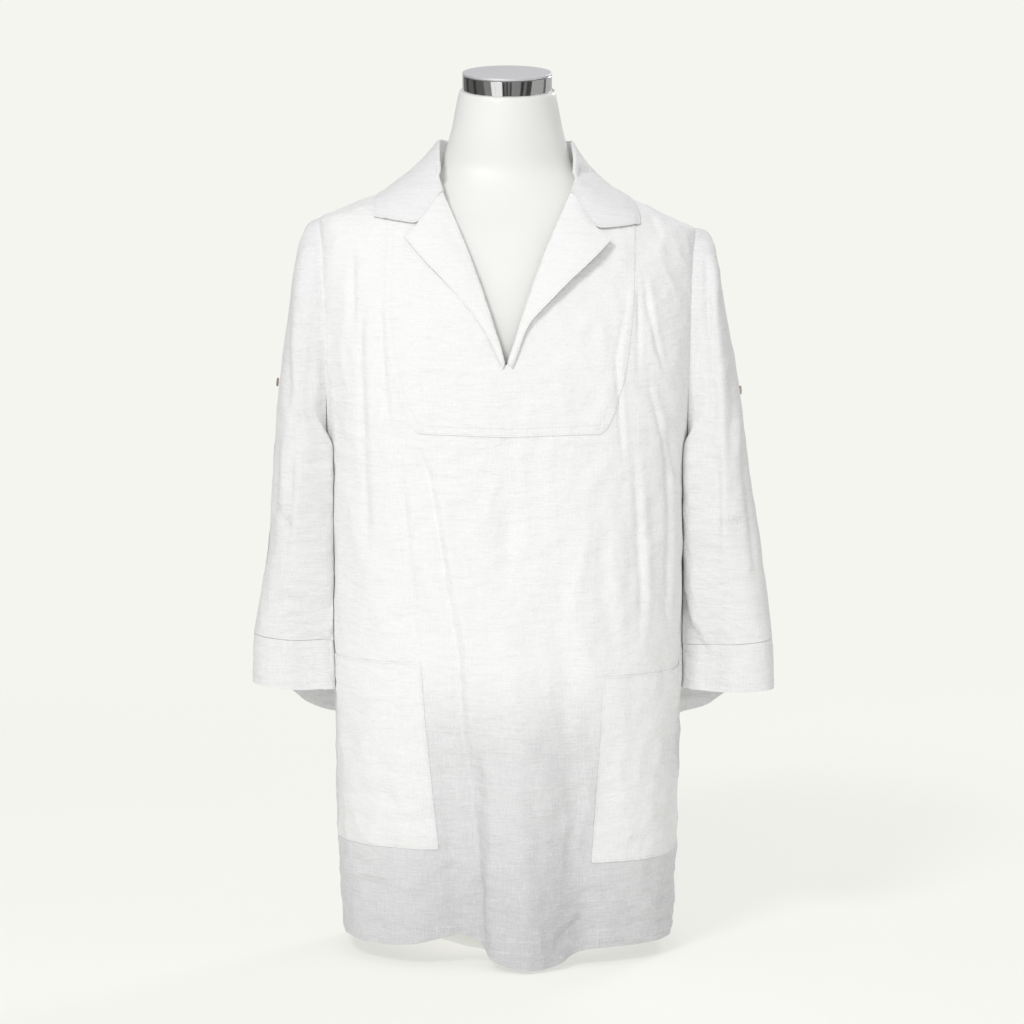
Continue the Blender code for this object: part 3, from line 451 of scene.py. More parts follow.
def distance_to(points, marks):
    """Each point's distance to the nearest of the marked points."""
    tree = KDTree(len(marks))
    for index, mark in enumerate(marks):
        tree.insert(Vector(points[mark]), index)
    tree.balance()
    return np.array([tree.find(Vector(p))[2] for p in points])


def is_hem(point):
    """True for an edge point at the shirt's lower edge."""
    return point[2] < HEM_HEIGHT and abs(point[1]) > SIDE_SEAM


# %% [markdown]
# The three numbers are stored just before the sheet gets its thickness, so that
# its other face and its rim inherit them. The painted shade of a single layer
# is less beside the side seams, where the next panel curves round behind it.

# %% Keeping the edges
HEM_TURN = 0.0075
HEM_STEP = 0.0004
HEM_FADE = 0.003
NO_HEM = 1.0
# Painted shade: where it starts below the hips and how it grows to the hem.
PAINTED_SHADE_FROM = 0.315
PAINTED_SHADE_FALL = 0.11
SKIRT_FROM = 0.20
SEAM_VEIL = 0.22
VEIL_SPAN = (0.06, 0.14)


def keep_edges(sheet, turned_hem, single, unlined):
    """Raises the turned hem and keeps three numbers on every point."""
    points, normals = arrays(sheet)
    rims = [i for ring in edge_loops(sheet) for i in ring]
    rim = distance_to(points, rims)
    hems = [i for i in rims if is_hem(points[i])] if turned_hem else []
    hem = distance_to(points, hems) if hems else np.full(len(points), NO_HEM)
    if hems:
        lift = HEM_STEP * (1 - ease(hem, HEM_TURN, HEM_TURN + HEM_FADE))
        place(sheet, points + normals * lift[:, None])
    height = points[:, 2]
    # Painted shade, greyer towards the hem and less beside the side seams.
    painted_shade = 0.5 * ease(PAINTED_SHADE_FROM - height, 0, PAINTED_SHADE_FALL)
    painted_shade += 0.5 * ease(SKIRT_FROM - height, 0, SKIRT_FROM)
    painted_shade *= 1 - SEAM_VEIL * ease(np.abs(points[:, 0]), *VEIL_SPAN)
    grey = np.maximum(single * painted_shade, unlined)
    # The open number is the share of painted shade in the linen's colour.
    for name, values in (("rim", rim), ("hem", hem), ("open", grey)):
        layer = sheet.data.attributes.new(name, "FLOAT", "POINT")
        layer.data.foreach_set("value", values)


def thicken(sheet, wall):
    """Gives the sheet its thickness, outwards."""
    modify(sheet, "SOLIDIFY", thickness=wall, offset=1.0, use_rim=True)
    smooth(sheet)


# %% [markdown]
# ## Shader sums
# A material could be wired by hand in the node editor. Written as code it needs
# a line for every node and link, so a wrapped socket lets a pattern be a plain
# sum instead, and every other node comes from one method.

# %% A socket that adds up
class Value:
    """A number's socket that takes part in Python sums."""

    def __init__(self, tree, socket):
        self.tree = tree
        self.socket = socket

    def maths(self, operation, *terms):
        node = self.tree.nodes.new("ShaderNodeMath")
        node.operation = operation
        for slot, term in zip(node.inputs, terms):
            if isinstance(term, Value):
                self.tree.links.new(term.socket, slot)
            else:
                slot.default_value = term
        return Value(self.tree, node.outputs[0])

    def __add__(self, other):
        return self.maths("ADD", self, other)

    def __sub__(self, other):
        return self.maths("SUBTRACT", self, other)

    def __rsub__(self, other):
        return self.maths("SUBTRACT", other, self)

    def __mul__(self, other):
        return self.maths("MULTIPLY", self, other)

    __radd__ = __add__
    __rmul__ = __mul__

    def __abs__(self):
        return self.maths("ABSOLUTE", self)

    def step(self, low, high):
        """A smooth step from 0 at low to 1 at high."""
        node = self.tree.nodes.new("ShaderNodeMapRange")
        node.interpolation_type = "SMOOTHSTEP"
        self.tree.links.new(self.socket, node.inputs["Value"])
        node.inputs["From Min"].default_value = low
        node.inputs["From Max"].default_value = high
        return Value(self.tree, node.outputs["Result"])


# %% [markdown]
# A finish is one material. What is the same all over goes straight to the
# shader's own sockets, and what changes over the surface is fed to it later.

# %% A finish
class Finish:
    """A material that is built step by step."""

    def __init__(self, name, **uniform):
        self.material = bpy.data.materials.new(name)
        self.material.use_nodes = True
        self.tree = self.material.node_tree
        self.shader = self.tree.nodes["Principled BSDF"]
        for socket, value in uniform.items():
            self.shader.inputs[socket.replace("_", " ")].default_value = value

    def node(self, kind, settings=(), inputs=(), output=0):
        """Any other node: its settings first, then its sockets."""
        node = self.tree.nodes.new(kind)
        for name, value in dict(settings).items():
            setattr(node, name, value)
        for name, value in dict(inputs).items():
            if isinstance(value, Value):
                self.tree.links.new(value.socket, node.inputs[name])
            else:
                node.inputs[name].default_value = value
        return Value(self.tree, node.outputs[output])

    def place(self, scale):
        """Object coordinates, stretched by a scale on each axis."""
        spot = self.node("ShaderNodeTexCoord", output="Object")
        return self.node("ShaderNodeMapping", inputs={"Vector": spot, "Scale": scale})

    def noise(self, scale, detail=2.0, roughness=0.5):
        """Noise on the stretched coordinates, 0 to 1."""
        spot = self.place(scale)
        inputs = {"Vector": spot, "Scale": 1.0, "Detail": detail, "Roughness": roughness}
        return self.node("ShaderNodeTexNoise", inputs=inputs)

    def kept(self, name):
        """A number that the mesh carries on its points."""
        return self.node("ShaderNodeAttribute", {"attribute_name": name}, output="Fac")

    def colour(self, share, first, second):
        """A colour between two others."""
        return self.node(
            "ShaderNodeMix", {"data_type": "RGBA"}, {0: share, 6: first, 7: second}, output=2
        )

    def bump(self, height, strength, distance):
        """A bump of this height on the shader's normal."""
        inputs = {"Height": height, "Strength": strength, "Distance": distance}
        self.feed("Normal", self.node("ShaderNodeBump", inputs=inputs))

    def feed(self, socket, value):
        """Links a value to one of the shader's sockets."""
        self.tree.links.new(value.socket, self.shader.inputs[socket])

    def paint(self, share, first, second):
        """A base colour that goes from the first colour to the second."""
        self.feed("Base Color", self.colour(share, first, second))

    def put_on(self, thing):
        """Gives an object this material alone."""
        thing.data.materials.clear()
        thing.data.materials.append(self.material)


# %% [markdown]
# ## Linen
# Linen is a plain weave of uneven flax threads. Thin threads run up and across
# and now and then one swells into a slub. A wave texture would repeat too
# evenly, and an image would need unwrapping. Noise that is drawn out along one
# axis gives threads that follow the shirt all round. The cloth is matt and
# white with a trace of grey between the threads. Where a point carries painted
# shade, its colour turns grey and the grey between the threads deepens. Close
# to an edge it shows the pressed line of the seam beneath the stitches, as a
# sunk bump with a touch of painted shade.

# %% The linen
LINEN_LIGHT = (0.905, 0.905, 0.900, 1)
# Painted shade: the grey of thin linen that has only shade behind it.
LINEN_PAINTED_SHADE = (0.630, 0.628, 0.648, 1)
LINEN_SLUB = (0.945, 0.945, 0.945, 1)
LINEN_GAP = (0.42, 0.42, 0.44, 1)
WARP = (1150, 1150, 60)
WEFT = (60, 60, 1150)
SLUB_UP = (720, 720, 38)
SLUB_ACROSS = (42, 42, 720)
SLUB_SPAN = (0.54, 0.72)
THICK_UP = (400, 400, 20)
THICK_ACROSS = (24, 24, 400)
THICK_SPAN = (0.60, 0.74)
PATCH = (9, 9, 6)
CRUMPLE = (38, 38, 95)
WEAVE_LIFT = 0.00034
SLUB_LIFT = 0.00022
CRUMPLE_LIFT = 0.0033
GROOVE_SINK = 0.00006
GROOVE_SPAN = (0.0003, 0.0012)
BODY_SEAM = 0.0065
EDGE_SEAM = 0.0018
TWIN_SEAM = 0.0082


def linen(name, lines, hem_line=False):
    """Linen with pressed lines at these distances from the edge, in metres."""
    cloth = Finish(name, Sheen_Weight=0.10, Sheen_Roughness=0.5, Specular_IOR_Level=0.25)
    warp = cloth.noise(WARP, 3)
    weft = cloth.noise(WEFT, 3)
    slub_up = cloth.noise(SLUB_UP, 2).step(*SLUB_SPAN)
    slub_across = cloth.noise(SLUB_ACROSS, 2).step(*SLUB_SPAN)
    thick_up = cloth.noise(THICK_UP, 1).step(*THICK_SPAN)
    thick_across = cloth.noise(THICK_ACROSS, 1).step(*THICK_SPAN)
    weave = warp * 0.5 + weft * 0.5
    slubs = slub_up * 0.55 + slub_across * 0.55 + thick_up * 0.5 + thick_across * 0.5
    patch = cloth.noise(PATCH, 3)
    crumple = cloth.noise(CRUMPLE, 4, 0.58)
    painted_shade = cloth.kept("open")
    rim = cloth.kept("rim")
    groove = 0.0
    for line in lines:
        groove = 1 - abs(rim - line).step(*GROOVE_SPAN) + groove
    if hem_line:
        groove = 1 - abs(cloth.kept("hem") - HEM_TURN).step(*GROOVE_SPAN) + groove
    # Painted shade: the colour turns grey where a point's share of shade is high, with a little random
    # tone.
    ground = cloth.colour(painted_shade + (patch - 0.5) * 0.12, LINEN_LIGHT, LINEN_PAINTED_SHADE)
    ground = cloth.colour(slubs.step(0.1, 1.3) * (painted_shade * 0.22 + 0.22), ground, LINEN_SLUB)
    # Grey between the threads: a little everywhere, and more where painted shade lies.
    gaps = (0.60 - weave).step(-0.06, 0.26) * (painted_shade * 0.30 + 0.10)
    # The pressed line gets a touch of painted shade in its colour, beside its sunk bump.
    cloth.paint(gaps + groove * 0.035, ground, LINEN_GAP)
    cloth.feed("Roughness", 0.86 - slubs * 0.06)
    threads = weave * WEAVE_LIFT + slubs * SLUB_LIFT
    cloth.bump(threads + crumple * CRUMPLE_LIFT - groove * GROOVE_SINK, 0.8, 1.0)
    return cloth


# %% [markdown]
# The pieces differ only in where their pressed line runs: at the body's seams
# and its hem, close to the edge of collar, pockets and tabs, and farther in on
# cuffs and bib. The lapels have none.

# %% Four linens
body_linen = linen("linen_body", [BODY_SEAM], hem_line=True)
plain_linen = linen("linen_plain", [])
edge_linen = linen("linen_edge_stitched", [EDGE_SEAM])
twin_linen = linen("linen_twin_stitched", [TWIN_SEAM])
print("nodes in the body's linen", len(body_linen.tree.nodes))

# %% [markdown]
# ## Front and back
# The front and the back are two wide panels that hang from the shoulders. A
# cloth simulation would find folds of its own. Placed one by one, they lie where
# they are on the real shirt. The longest starts at the bib's lower corner,
# where its fullness is let out, and runs down to the hem. Shorter creases lie
# on the chest and above the hem.

# %% Creases in front
FRONT_CREASES = [
    ("front", [(-97, 546), (-91, 525), (-84, 513), (-77, 492), (-63, 403)], 7, 2.8, 0.4, "b"),
    ("front", [(-77, 492), (-63, 403), (-49, 314), (-47, 253), (-38, 151), (-28, 30)], 8.5, 3.6, 0.4, "b"),
    ("front", [(-37, 285), (-34, 213), (-29, 132), (-25, 20)], 12, 4.2, 0.6, "b"),
    ("front", [(-157, 740), (-155, 684), (-156, 630)], 6, 1.8, 0.6, ""),
    ("front", [(-127, 700), (-125, 626), (-121, 577), (-116, 520)], 6, 1.7, 0.7, ""),
    ("front", [(119, 690), (117, 657), (109, 612), (112, 575), (118, 490)], 3.5, 2.0, 0.35, ""),
    ("front", [(131, 700), (132, 649), (131, 590)], 3.5, 1.3, 0.3, ""),
    ("front", [(135, 710), (146, 646), (160, 590)], 4, 1.3, 0.35, ""),
    ("front", [(137, 625), (146, 575), (155, 542), (161, 513), (163, 430), (162, 330)], 4.5, 2.2, 0.4, ""),
    ("front", [(141, 768), (150, 749), (158, 728)], 5, 0.7, 0.5, ""),
    ("front", [(126, 540), (131, 470), (136, 390), (134, 300)], 6, 1.9, 0.6, ""),
    ("front", [(-146, 716), (-147, 610), (-143, 500), (-140, 380)], 7, 2.0, 0.6, ""),
    ("front", [(-112, 560), (-104, 470), (-96, 380), (-92, 290)], 7, 2.0, 0.6, ""),
    ("front", [(159, 552), (166, 520), (172, 490)], 6, 2.2, 0.6, ""),
    ("front", [(-140, 340), (-120, 350), (-100, 361)], 3.5, 1.3, 0.6, ""),
    ("front", [(-128, 341), (-103, 358)], 3, 1.0, 0.4, ""),
    ("front", [(-32, 252), (-8, 258), (18, 264)], 3.5, 1.4, 0.7, ""),
    ("front", [(-82, 236), (-62, 240), (-44, 241)], 3, 1.2, 0.7, ""),
    ("front", [(-80, 218), (-48, 223)], 3, 1.1, 0.6, ""),
    ("front", [(-80, 202), (-50, 197)], 3, 1.1, 0.6, ""),
    ("front", [(-173, 172), (-140, 176), (-100, 187)], 4, 1.4, 0.7, ""),
    ("front", [(-125, 122), (-98, 124), (-72, 129)], 3.5, 1.4, 0.7, ""),
    ("front", [(-92, 152), (-72, 165)], 3, 1.0, 0.5, ""),
    ("front", [(-172, 78), (-145, 80), (-110, 84)], 4, 1.6, 0.7, ""),
    ("front", [(-131, 41), (-100, 62)], 4, 1.4, 0.6, ""),
    ("front", [(-72, 96), (-46, 105)], 3.5, 1.3, 0.6, ""),
    ("front", [(44, 31), (62, 44), (82, 56)], 4.5, 1.8, 0.7, ""),
    ("front", [(30, 44), (52, 48)], 3.5, 1.2, 0.5, ""),
    ("front", [(88, 68), (118, 77)], 3.5, 1.3, 0.5, ""),
    ("front", [(118, 39), (153, 47)], 3.5, 1.3, 0.5, ""),
    ("front", [(60, 500), (52, 400), (56, 300), (64, 190)], 16, 1.5, 0.5, ""),
    ("front", [(5, 520), (0, 420), (8, 330)], 15, 1.2, 0.4, ""),
    ("front", [(100, 470), (96, 380), (104, 310)], 12, 1.6, 0.6, ""),
    ("front", [(20, 230), (30, 140), (38, 60)], 14, 1.8, 0.5, ""),
    ("right", [(-30, 470), (-20, 380), (-34, 250), (-26, 120)], 13, 2.2, 0.5, ""),
    ("left", [(-34, 470), (-22, 350), (-30, 210), (-22, 110)], 13, 2.2, 0.5, ""),
]
print("creases in front", len(FRONT_CREASES))

# %% [markdown]
# The back has two long folds from the shoulders down and short creases above
# the hem. They are as uneven as those in front, and none is a mirrored copy.

# %% Creases behind
BACK_CREASES = [
    ("back", [(-70, 640), (-62, 520), (-74, 400), (-66, 250), (-78, 60)], 13, 3.0, 0.6, "b"),
    ("back", [(58, 660), (50, 560), (64, 430), (54, 280), (60, 120), (52, 20)], 12, 2.8, 0.7, "b"),
    ("back", [(-8, 600), (4, 470), (-6, 330), (6, 190)], 14, 2.2, 0.5, ""),
    ("back", [(120, 690), (112, 600), (118, 500)], 7, 2.4, 0.8, ""),
    ("back", [(-128, 700), (-118, 620), (-124, 510)], 7, 2.2, 0.7, ""),
    ("back", [(-150, 730), (-140, 690), (-146, 640)], 5, 1.5, 0.6, ""),
    ("back", [(148, 736), (140, 690), (150, 630)], 5, 1.6, 0.6, ""),
    ("back", [(-120, 250), (-90, 262), (-60, 256)], 4, 1.4, 0.7, ""),
    ("back", [(40, 230), (80, 222), (112, 232)], 4, 1.4, 0.7, ""),
    ("back", [(-40, 160), (-10, 168), (24, 160)], 4, 1.3, 0.6, ""),
    ("back", [(-150, 110), (-118, 116), (-96, 108)], 4, 1.4, 0.6, ""),
    ("back", [(88, 90), (120, 84), (148, 92)], 4, 1.4, 0.6, ""),
    ("back", [(-30, 60), (0, 54), (26, 66)], 4, 1.3, 0.5, ""),
    ("back", [(-100, 440), (-104, 330), (-98, 220)], 12, 1.8, 0.5, ""),
    ("back", [(100, 420), (104, 320), (96, 230)], 12, 1.8, 0.5, ""),
    ("right", [(30, 460), (24, 330), (34, 190), (28, 90)], 12, 2.0, 0.5, ""),
    ("left", [(28, 440), (34, 320), (24, 180), (30, 100)], 12, 2.0, 0.5, ""),
]
BODY_WAVES = [
    (170, 60, 2.4, 3.1, False, None),
    (60, 32, 1.4, 8.4, True, None),
    (26, 24, 0.75, 5.2, True, None),
    (20, 66, 2.0, 4.7, True, 0.22),
    (13, 34, 0.7, 7.7, True, 0.34),
]
print("creases behind", len(BACK_CREASES))

# %% [markdown]
# Every piece goes through the same steps. Its sheet is refined, creased, let
# down onto its neighbour if it leans on one, marked, thickened and given its
# linen. An open copy is kept for the stitches, which follow the sheet's edge.

# %% Front and back panels
FINE = 3
WALL = 0.0010
THIN = 0.0006
shirt = {}


def complete(node, sheet, area, finish, wall, hem=False, single=0.0, unlined=0.0):
    """The last steps of every piece: edges, thickness and finish."""
    keep_edges(sheet, hem, single, unlined)
    open_sheet = sheet.copy()
    open_sheet.data = sheet.data.copy()
    thicken(sheet, wall)
    finish.put_on(sheet)
    shirt[node] = {"piece": sheet, "open": open_sheet, "area": area}


def panel(node, name, creases, waves, near, finish, levels=FINE, settle=None, wall=WALL, **edges):
    """A piece with its own creases, which may then settle onto another."""
    sheet, area = sheet_of(node, name)
    refine(sheet, levels)
    if edges.get("hem"):
        sharpen_opening(sheet)
    lay_creases(sheet, creases, near, waves)
    if settle:
        settle(sheet)
    complete(node, sheet, area, finish, wall, **edges)


# The front and back take the whole painted shade of the skirt.
for node, behind, creases in (("front", "back", FRONT_CREASES), ("back", "front", BACK_CREASES)):
    near = (behind, "sleeve_left", "sleeve_right", "collar", "lapel_left", "lapel_right")
    panel(node, f"{node}_panel", creases, BODY_WAVES, near, body_linen, hem=True, single=1.0)

# %% [markdown]
# ## Sleeves
# The sleeves hang straight from dropped armholes. Their folds run down from the
# shoulder, and the cloth buckles a little above the cuff, where the tab pulls
# it up.

# %% The sleeves' tables
HANDS = ("left", "right")
SLEEVE_CREASES = {
    "left": [
        ("front", [(-224, 690), (-222, 617), (-222, 567), (-216, 545)], 6, 2.2, 0.7, ""),
        ("front", [(-200, 640), (-206, 560), (-204, 470)], 7, 1.8, 0.6, ""),
        ("front", [(-208, 700), (-212, 600), (-220, 480), (-228, 370)], 6, 1.8, 0.7, ""),
        ("front", [(-232, 560), (-238, 470), (-246, 380)], 6, 1.5, 0.6, ""),
        ("front", [(-238, 470), (-226, 450), (-214, 446)], 4, 1.4, 0.6, ""),
        ("front", [(-246, 360), (-228, 372), (-206, 366)], 5, 1.6, 0.7, ""),
        ("left", [(-30, 600), (-24, 520), (-32, 430)], 8, 1.8, 0.6, ""),
        ("left", [(30, 580), (26, 500), (34, 400)], 8, 1.8, 0.6, ""),
        ("back", [(-214, 650), (-220, 560), (-212, 470)], 8, 2.2, 0.7, ""),
        ("back", [(-240, 420), (-222, 410), (-206, 416)], 5, 1.6, 0.7, ""),
    ],
    "right": [
        ("front", [(202, 726), (204, 690), (204, 660), (205, 630)], 6, 2.4, 0.8, ""),
        ("front", [(226, 650), (230, 570), (226, 500)], 8, 1.8, 0.6, ""),
        ("front", [(205, 690), (209, 600), (214, 500), (219, 390)], 6, 2.4, 0.8, ""),
        ("front", [(236, 560), (246, 470), (256, 370)], 6, 1.6, 0.6, ""),
        ("front", [(200, 447), (222, 445), (246, 451)], 4, 0.9, 0.7, ""),
        ("front", [(212, 380), (236, 388), (256, 380)], 5, 0.9, 0.7, ""),
        ("right", [(-28, 610), (-34, 520), (-26, 430)], 8, 2.0, 0.6, ""),
        ("right", [(32, 590), (26, 480), (34, 390)], 8, 1.8, 0.6, ""),
        ("back", [(212, 660), (220, 570), (212, 480)], 8, 2.2, 0.7, ""),
        ("back", [(208, 420), (226, 410), (246, 418)], 5, 1.6, 0.7, ""),
    ],
}
SLEEVE_WAVES = [
    (120, 45, 2.4, 1.7, False, None),
    (60, 28, 1.2, 6.6, True, None),
    (24, 22, 0.55, 2.9, True, None),
]
print("sleeve creases", {hand: len(SLEEVE_CREASES[hand]) for hand in HANDS})

# %% [markdown]
# An empty sleeve leans on the body below the armhole. A simulation would find
# that rest by itself, but would move the folds too. Instead, points that are
# near the body's cloth are drawn onto it. The cuffs hang open, and the back
# inner corner of each swings in and down a little before that.

# %% Sleeves and cuffs that lean on the body
UNDERARM = 0.57
UNDERARM_FADE = 0.05
BODY_NEAR = 0.020
BODY_FAR = 0.042
REST_GAP = 0.0015
SWING_IN = {"left": 0.007, "right": 0.009}
SWING_DOWN = {"left": 0.012, "right": 0.008}
SWING_BELOW = 0.36
SWING_FADE = 0.08
SWING_WITHIN = 0.235
SWING_BACK = (-0.02, 0.04)
SWING_REACH = 0.04
# An even share of painted shade in the sleeves' and cuffs' colour.
SLEEVE_PAINTED_SHADE = 0.20
CUFF_WAVES = [(40, 30, 0.7, 4.4, False, None), (20, 18, 0.35, 7.1, True, None)]


def swing_cuff(sheet, hand):
    """Swings the back inner corner of a sleeve's end in and down."""
    points, _ = arrays(sheet)
    low = ease(SWING_BELOW - points[:, 2], 0, SWING_FADE)
    inside = ease(SWING_WITHIN - np.abs(points[:, 0]), 0, SWING_REACH)
    share = low * inside * ease(points[:, 1], *SWING_BACK)
    points[:, 0] -= np.sign(points[:, 0]) * SWING_IN[hand] * share
    points[:, 2] -= SWING_DOWN[hand] * share
    place(sheet, points)


def lean_on_body(sheet):
    """Lets the inner side of a sleeve or cuff hang against the body."""
    swing_cuff(sheet, sheet.name.split("_")[-1])
    body = tree_of([shirt["front"]["piece"], shirt["back"]["piece"]])
    points, _ = arrays(sheet)
    low = ease(UNDERARM - points[:, 2], 0, UNDERARM_FADE)
    before = points.copy()
    drawn = draw_to(points, body, BODY_NEAR, BODY_FAR, REST_GAP)
    place(sheet, before + (drawn - before) * low[:, None])


# Sleeves and cuffs also take an even share of painted shade.
leaning = {"settle": lean_on_body, "unlined": SLEEVE_PAINTED_SHADE}
for hand in HANDS:
    creases = SLEEVE_CREASES[hand]
    near = ("front", "back", f"cuff_{hand}", f"button_{hand}")
    name = f"sleeve_panel_{hand}"
    panel(f"sleeve_{hand}", name, creases, SLEEVE_WAVES, near, body_linen, **leaning)
for hand in HANDS:
    near = (f"sleeve_{hand}", f"tab_{hand}")
    name = f"cuff_band_{hand}"
    panel(f"cuff_{hand}", name, [], CUFF_WAVES, near, twin_linen, wall=THIN, **leaning)

# %% [markdown]
# ## Collar
# The collar is one strip that stands at the neck, rolls over and lies down
# again as a leaf, stitched close to its edge. It is pressed flatter than the
# body, so its waves are low. Its outer edge could be left where the solid has
# it, but then it would hover: it is let down onto the cloth below instead.

# %% The collar
COLLAR_WAVES = [(30, 34, 0.6, 9.3, False, None), (18, 18, 0.3, 2.2, True, None)]
# An even share of painted shade in the collar's colour, for the shade under its leaf.
COLLAR_PAINTED_SHADE = 0.15
LEAF_LIFT = 0.0005
LEAF_NEAR = 0.007
LEAF_EDGE = 0.022
LEAF_SHARE = 0.8


def lay_leaf_down(sheet):
    """Lets the collar's outer edge down onto the cloth below it."""
    points, _ = arrays(sheet)
    below = node_tree("front", "back", "bib", "sleeve_left", "sleeve_right")
    rims = [i for ring in edge_loops(sheet) for i in ring]
    hold = 1 - ease(distance_to(points, rims), 0, LEAF_EDGE)
    for index, p in enumerate(points):
        spot, _, _, gap = below.find_nearest(Vector(p), LEAF_NEAR)
        if spot is not None and gap > LEAF_LIFT:
            share = hold[index] * (1 - LEAF_LIFT / gap) * LEAF_SHARE
            points[index] = p + (np.array(spot) - p) * share
    place(sheet, points)


COLLAR_CREASES = [
    ("front", [(-126, 766), (-104, 770), (-84, 779)], 3.5, 1.0, 0.7, ""),
    ("front", [(-118, 757), (-98, 762)], 3, 0.7, 0.6, ""),
    ("front", [(96, 772), (112, 764)], 3, 0.7, 0.6, ""),
]
panel(
    "collar",
    "collar_strip",
    COLLAR_CREASES,
    COLLAR_WAVES,
    ("front", "back", "bib"),
    edge_linen,
    levels=2,
    settle=lay_leaf_down,
    unlined=COLLAR_PAINTED_SHADE,
)

# %% [markdown]
# ## Pieces that lie on others
# The bib, the pockets and the tabs are sewn flat onto the cloth below and take
# its creases. A shrinkwrap modifier could lay them down, but the nearest point
# of a creased cloth pinches a sheet into the troughs. So from every point a ray
# goes straight to the cloth below, and the point moves to just above where the
# ray lands.

# %% Bib, pockets and tabs
LIE = 0.0004
REACH = 0.012
# Pockets take this part of the skirt's painted shade.
POCKET_PAINTED_SHADE = 0.22


def lay_on(node, name, below, finish, single=0.0):
    """A piece that takes the creases of the piece below it."""
    sheet, area = sheet_of(node, name)
    refine(sheet, FINE)
    if node == "bib":
        sharpen_opening(sheet)
    ground = tree_of([shirt[below]["piece"]])
    points, normals = arrays(sheet)
    missed = 0
    for index, (p, n) in enumerate(zip(points, normals)):
        normal = Vector(n)
        spot, _, _, _ = ground.ray_cast(Vector(p) + normal * REACH, -normal, 2 * REACH)
        if spot is None:
            missed += 1
            continue
        points[index] = spot + normal * LIE
    place(sheet, points)
    complete(node, sheet, area, finish, THIN, single=single)
    print(f"{name}: {missed} points found no cloth below")


lay_on("bib", "bib_panel", "front", twin_linen)
for hand in HANDS:
    lay_on(f"pocket_{hand}", f"pocket_patch_{hand}", "front", edge_linen, single=POCKET_PAINTED_SHADE)
    lay_on(f"tab_{hand}", f"sleeve_tab_{hand}", f"sleeve_{hand}", edge_linen)

# %% [markdown]
# ## Lapels
# The lapels turn back from the neck opening and lie on the bib. Their upper
# edges are sewn to the collar's ends, so those points are drawn onto the
# collar. The left one has been pressed flat onto the bib, and is drawn onto
# that too. The right one lifts a little at its free edge, which is bent by a
# formula, because the bend has to fade towards both seams.

# %% Lapels
PRESSED = {"left": 1.0, "right": 0.0}
BIB_NEAR = (0.0016, 0.003)
COLLAR_NEAR = (0.002, 0.005)
SEWN_GAP = 0.0002
LEAF_WALL = {"left": 0.0004, "right": 0.0007}
LEAF_FOOT = (-0.002, 0.606)
LEAF_RUN = (0.067, 0.175)
LEAF_RISE = 0.0026
LEAF_FREE = (0.006, 0.030)
LEAF_SEWN = (0.728, 0.752)
LEAF_BENDS = 70
LEAF_DIP = 0.007
DIP_FREE = (0.002, 0.016)
DIP_HEIGHT = 0.642
DIP_SPAN = 0.024


def lift_leaf(points):
    """Lifts the right leaf's free edge and gives it a soft double bend."""
    height = points[:, 2]
    share = (height - LEAF_FOOT[1]) / LEAF_RUN[1]
    off = points[:, 0] - (LEAF_FOOT[0] + LEAF_RUN[0] * share)
    free = ease(off, *LEAF_FREE) * (1 - ease(height, *LEAF_SEWN))
    points[:, 1] -= LEAF_RISE * free * (0.7 + 0.5 * np.sin(height * LEAF_BENDS))
    dip = np.exp(-(((height - DIP_HEIGHT) / DIP_SPAN) ** 2))
    points[:, 0] -= LEAF_DIP * ease(off, *DIP_FREE) * dip
    return points


collar_tree = tree_of([shirt["collar"]["piece"]])
bib_tree = tree_of([shirt["bib"]["piece"]])
for hand in HANDS:
    sheet, area = sheet_of(f"lapel_{hand}", f"lapel_leaf_{hand}", LAPEL_CLOTH)
    refine(sheet, FINE)
    sharpen_opening(sheet)
    points, _ = arrays(sheet)
    points = draw_to(points, bib_tree, *BIB_NEAR, SEWN_GAP, PRESSED[hand])
    if hand == "right":
        points = lift_leaf(points)
    points = draw_to(points, collar_tree, *COLLAR_NEAR, SEWN_GAP)
    place(sheet, points)
    complete(f"lapel_{hand}", sheet, area, plain_linen, LEAF_WALL[hand])

# %% [markdown]
# ## Stitches
# The seams show as rows of small stitches a few millimetres from the edge. A
# bump could hint at them, but close up they cast their own small shadows. One
# stitch is a tiny squashed ball. It is copied along a line that runs beside the
# edge, laid on the finished cloth and turned along the line. All of them are
# one mesh, because thousands of objects would be slow.

# %% One stitch
STITCH_LENGTH = 0.0024
STITCH_STEP = 0.0033
STITCH_THICK = 0.00055
STITCH_FLAT = 0.8
STITCH_UP = 0.15

pick(camera)
bpy.ops.mesh.primitive_uv_sphere_add(segments=6, ring_count=4, radius=0.5)
pattern = bpy.context.object
pattern.rotation_euler = (0, math.pi / 2, 0)
bpy.ops.object.transform_apply(location=False, rotation=True, scale=False)
pattern.scale = (STITCH_LENGTH, STITCH_THICK, STITCH_THICK * STITCH_FLAT)
bpy.ops.object.transform_apply(location=False, rotation=False, scale=True)
stitch_points = np.array([v.co[:] for v in pattern.data.vertices])
stitch_faces = [list(p.vertices) for p in pattern.data.polygons]
bpy.data.objects.remove(pattern)
print("faces in one stitch", len(stitch_faces))


# %% [markdown]
# A row of stitches starts from a sheet's edge. Each edge point is moved inwards,
# square to the edge, and the line is cut where a test says that no row runs.

# %% Lines beside an edge
SHORTEST = 3


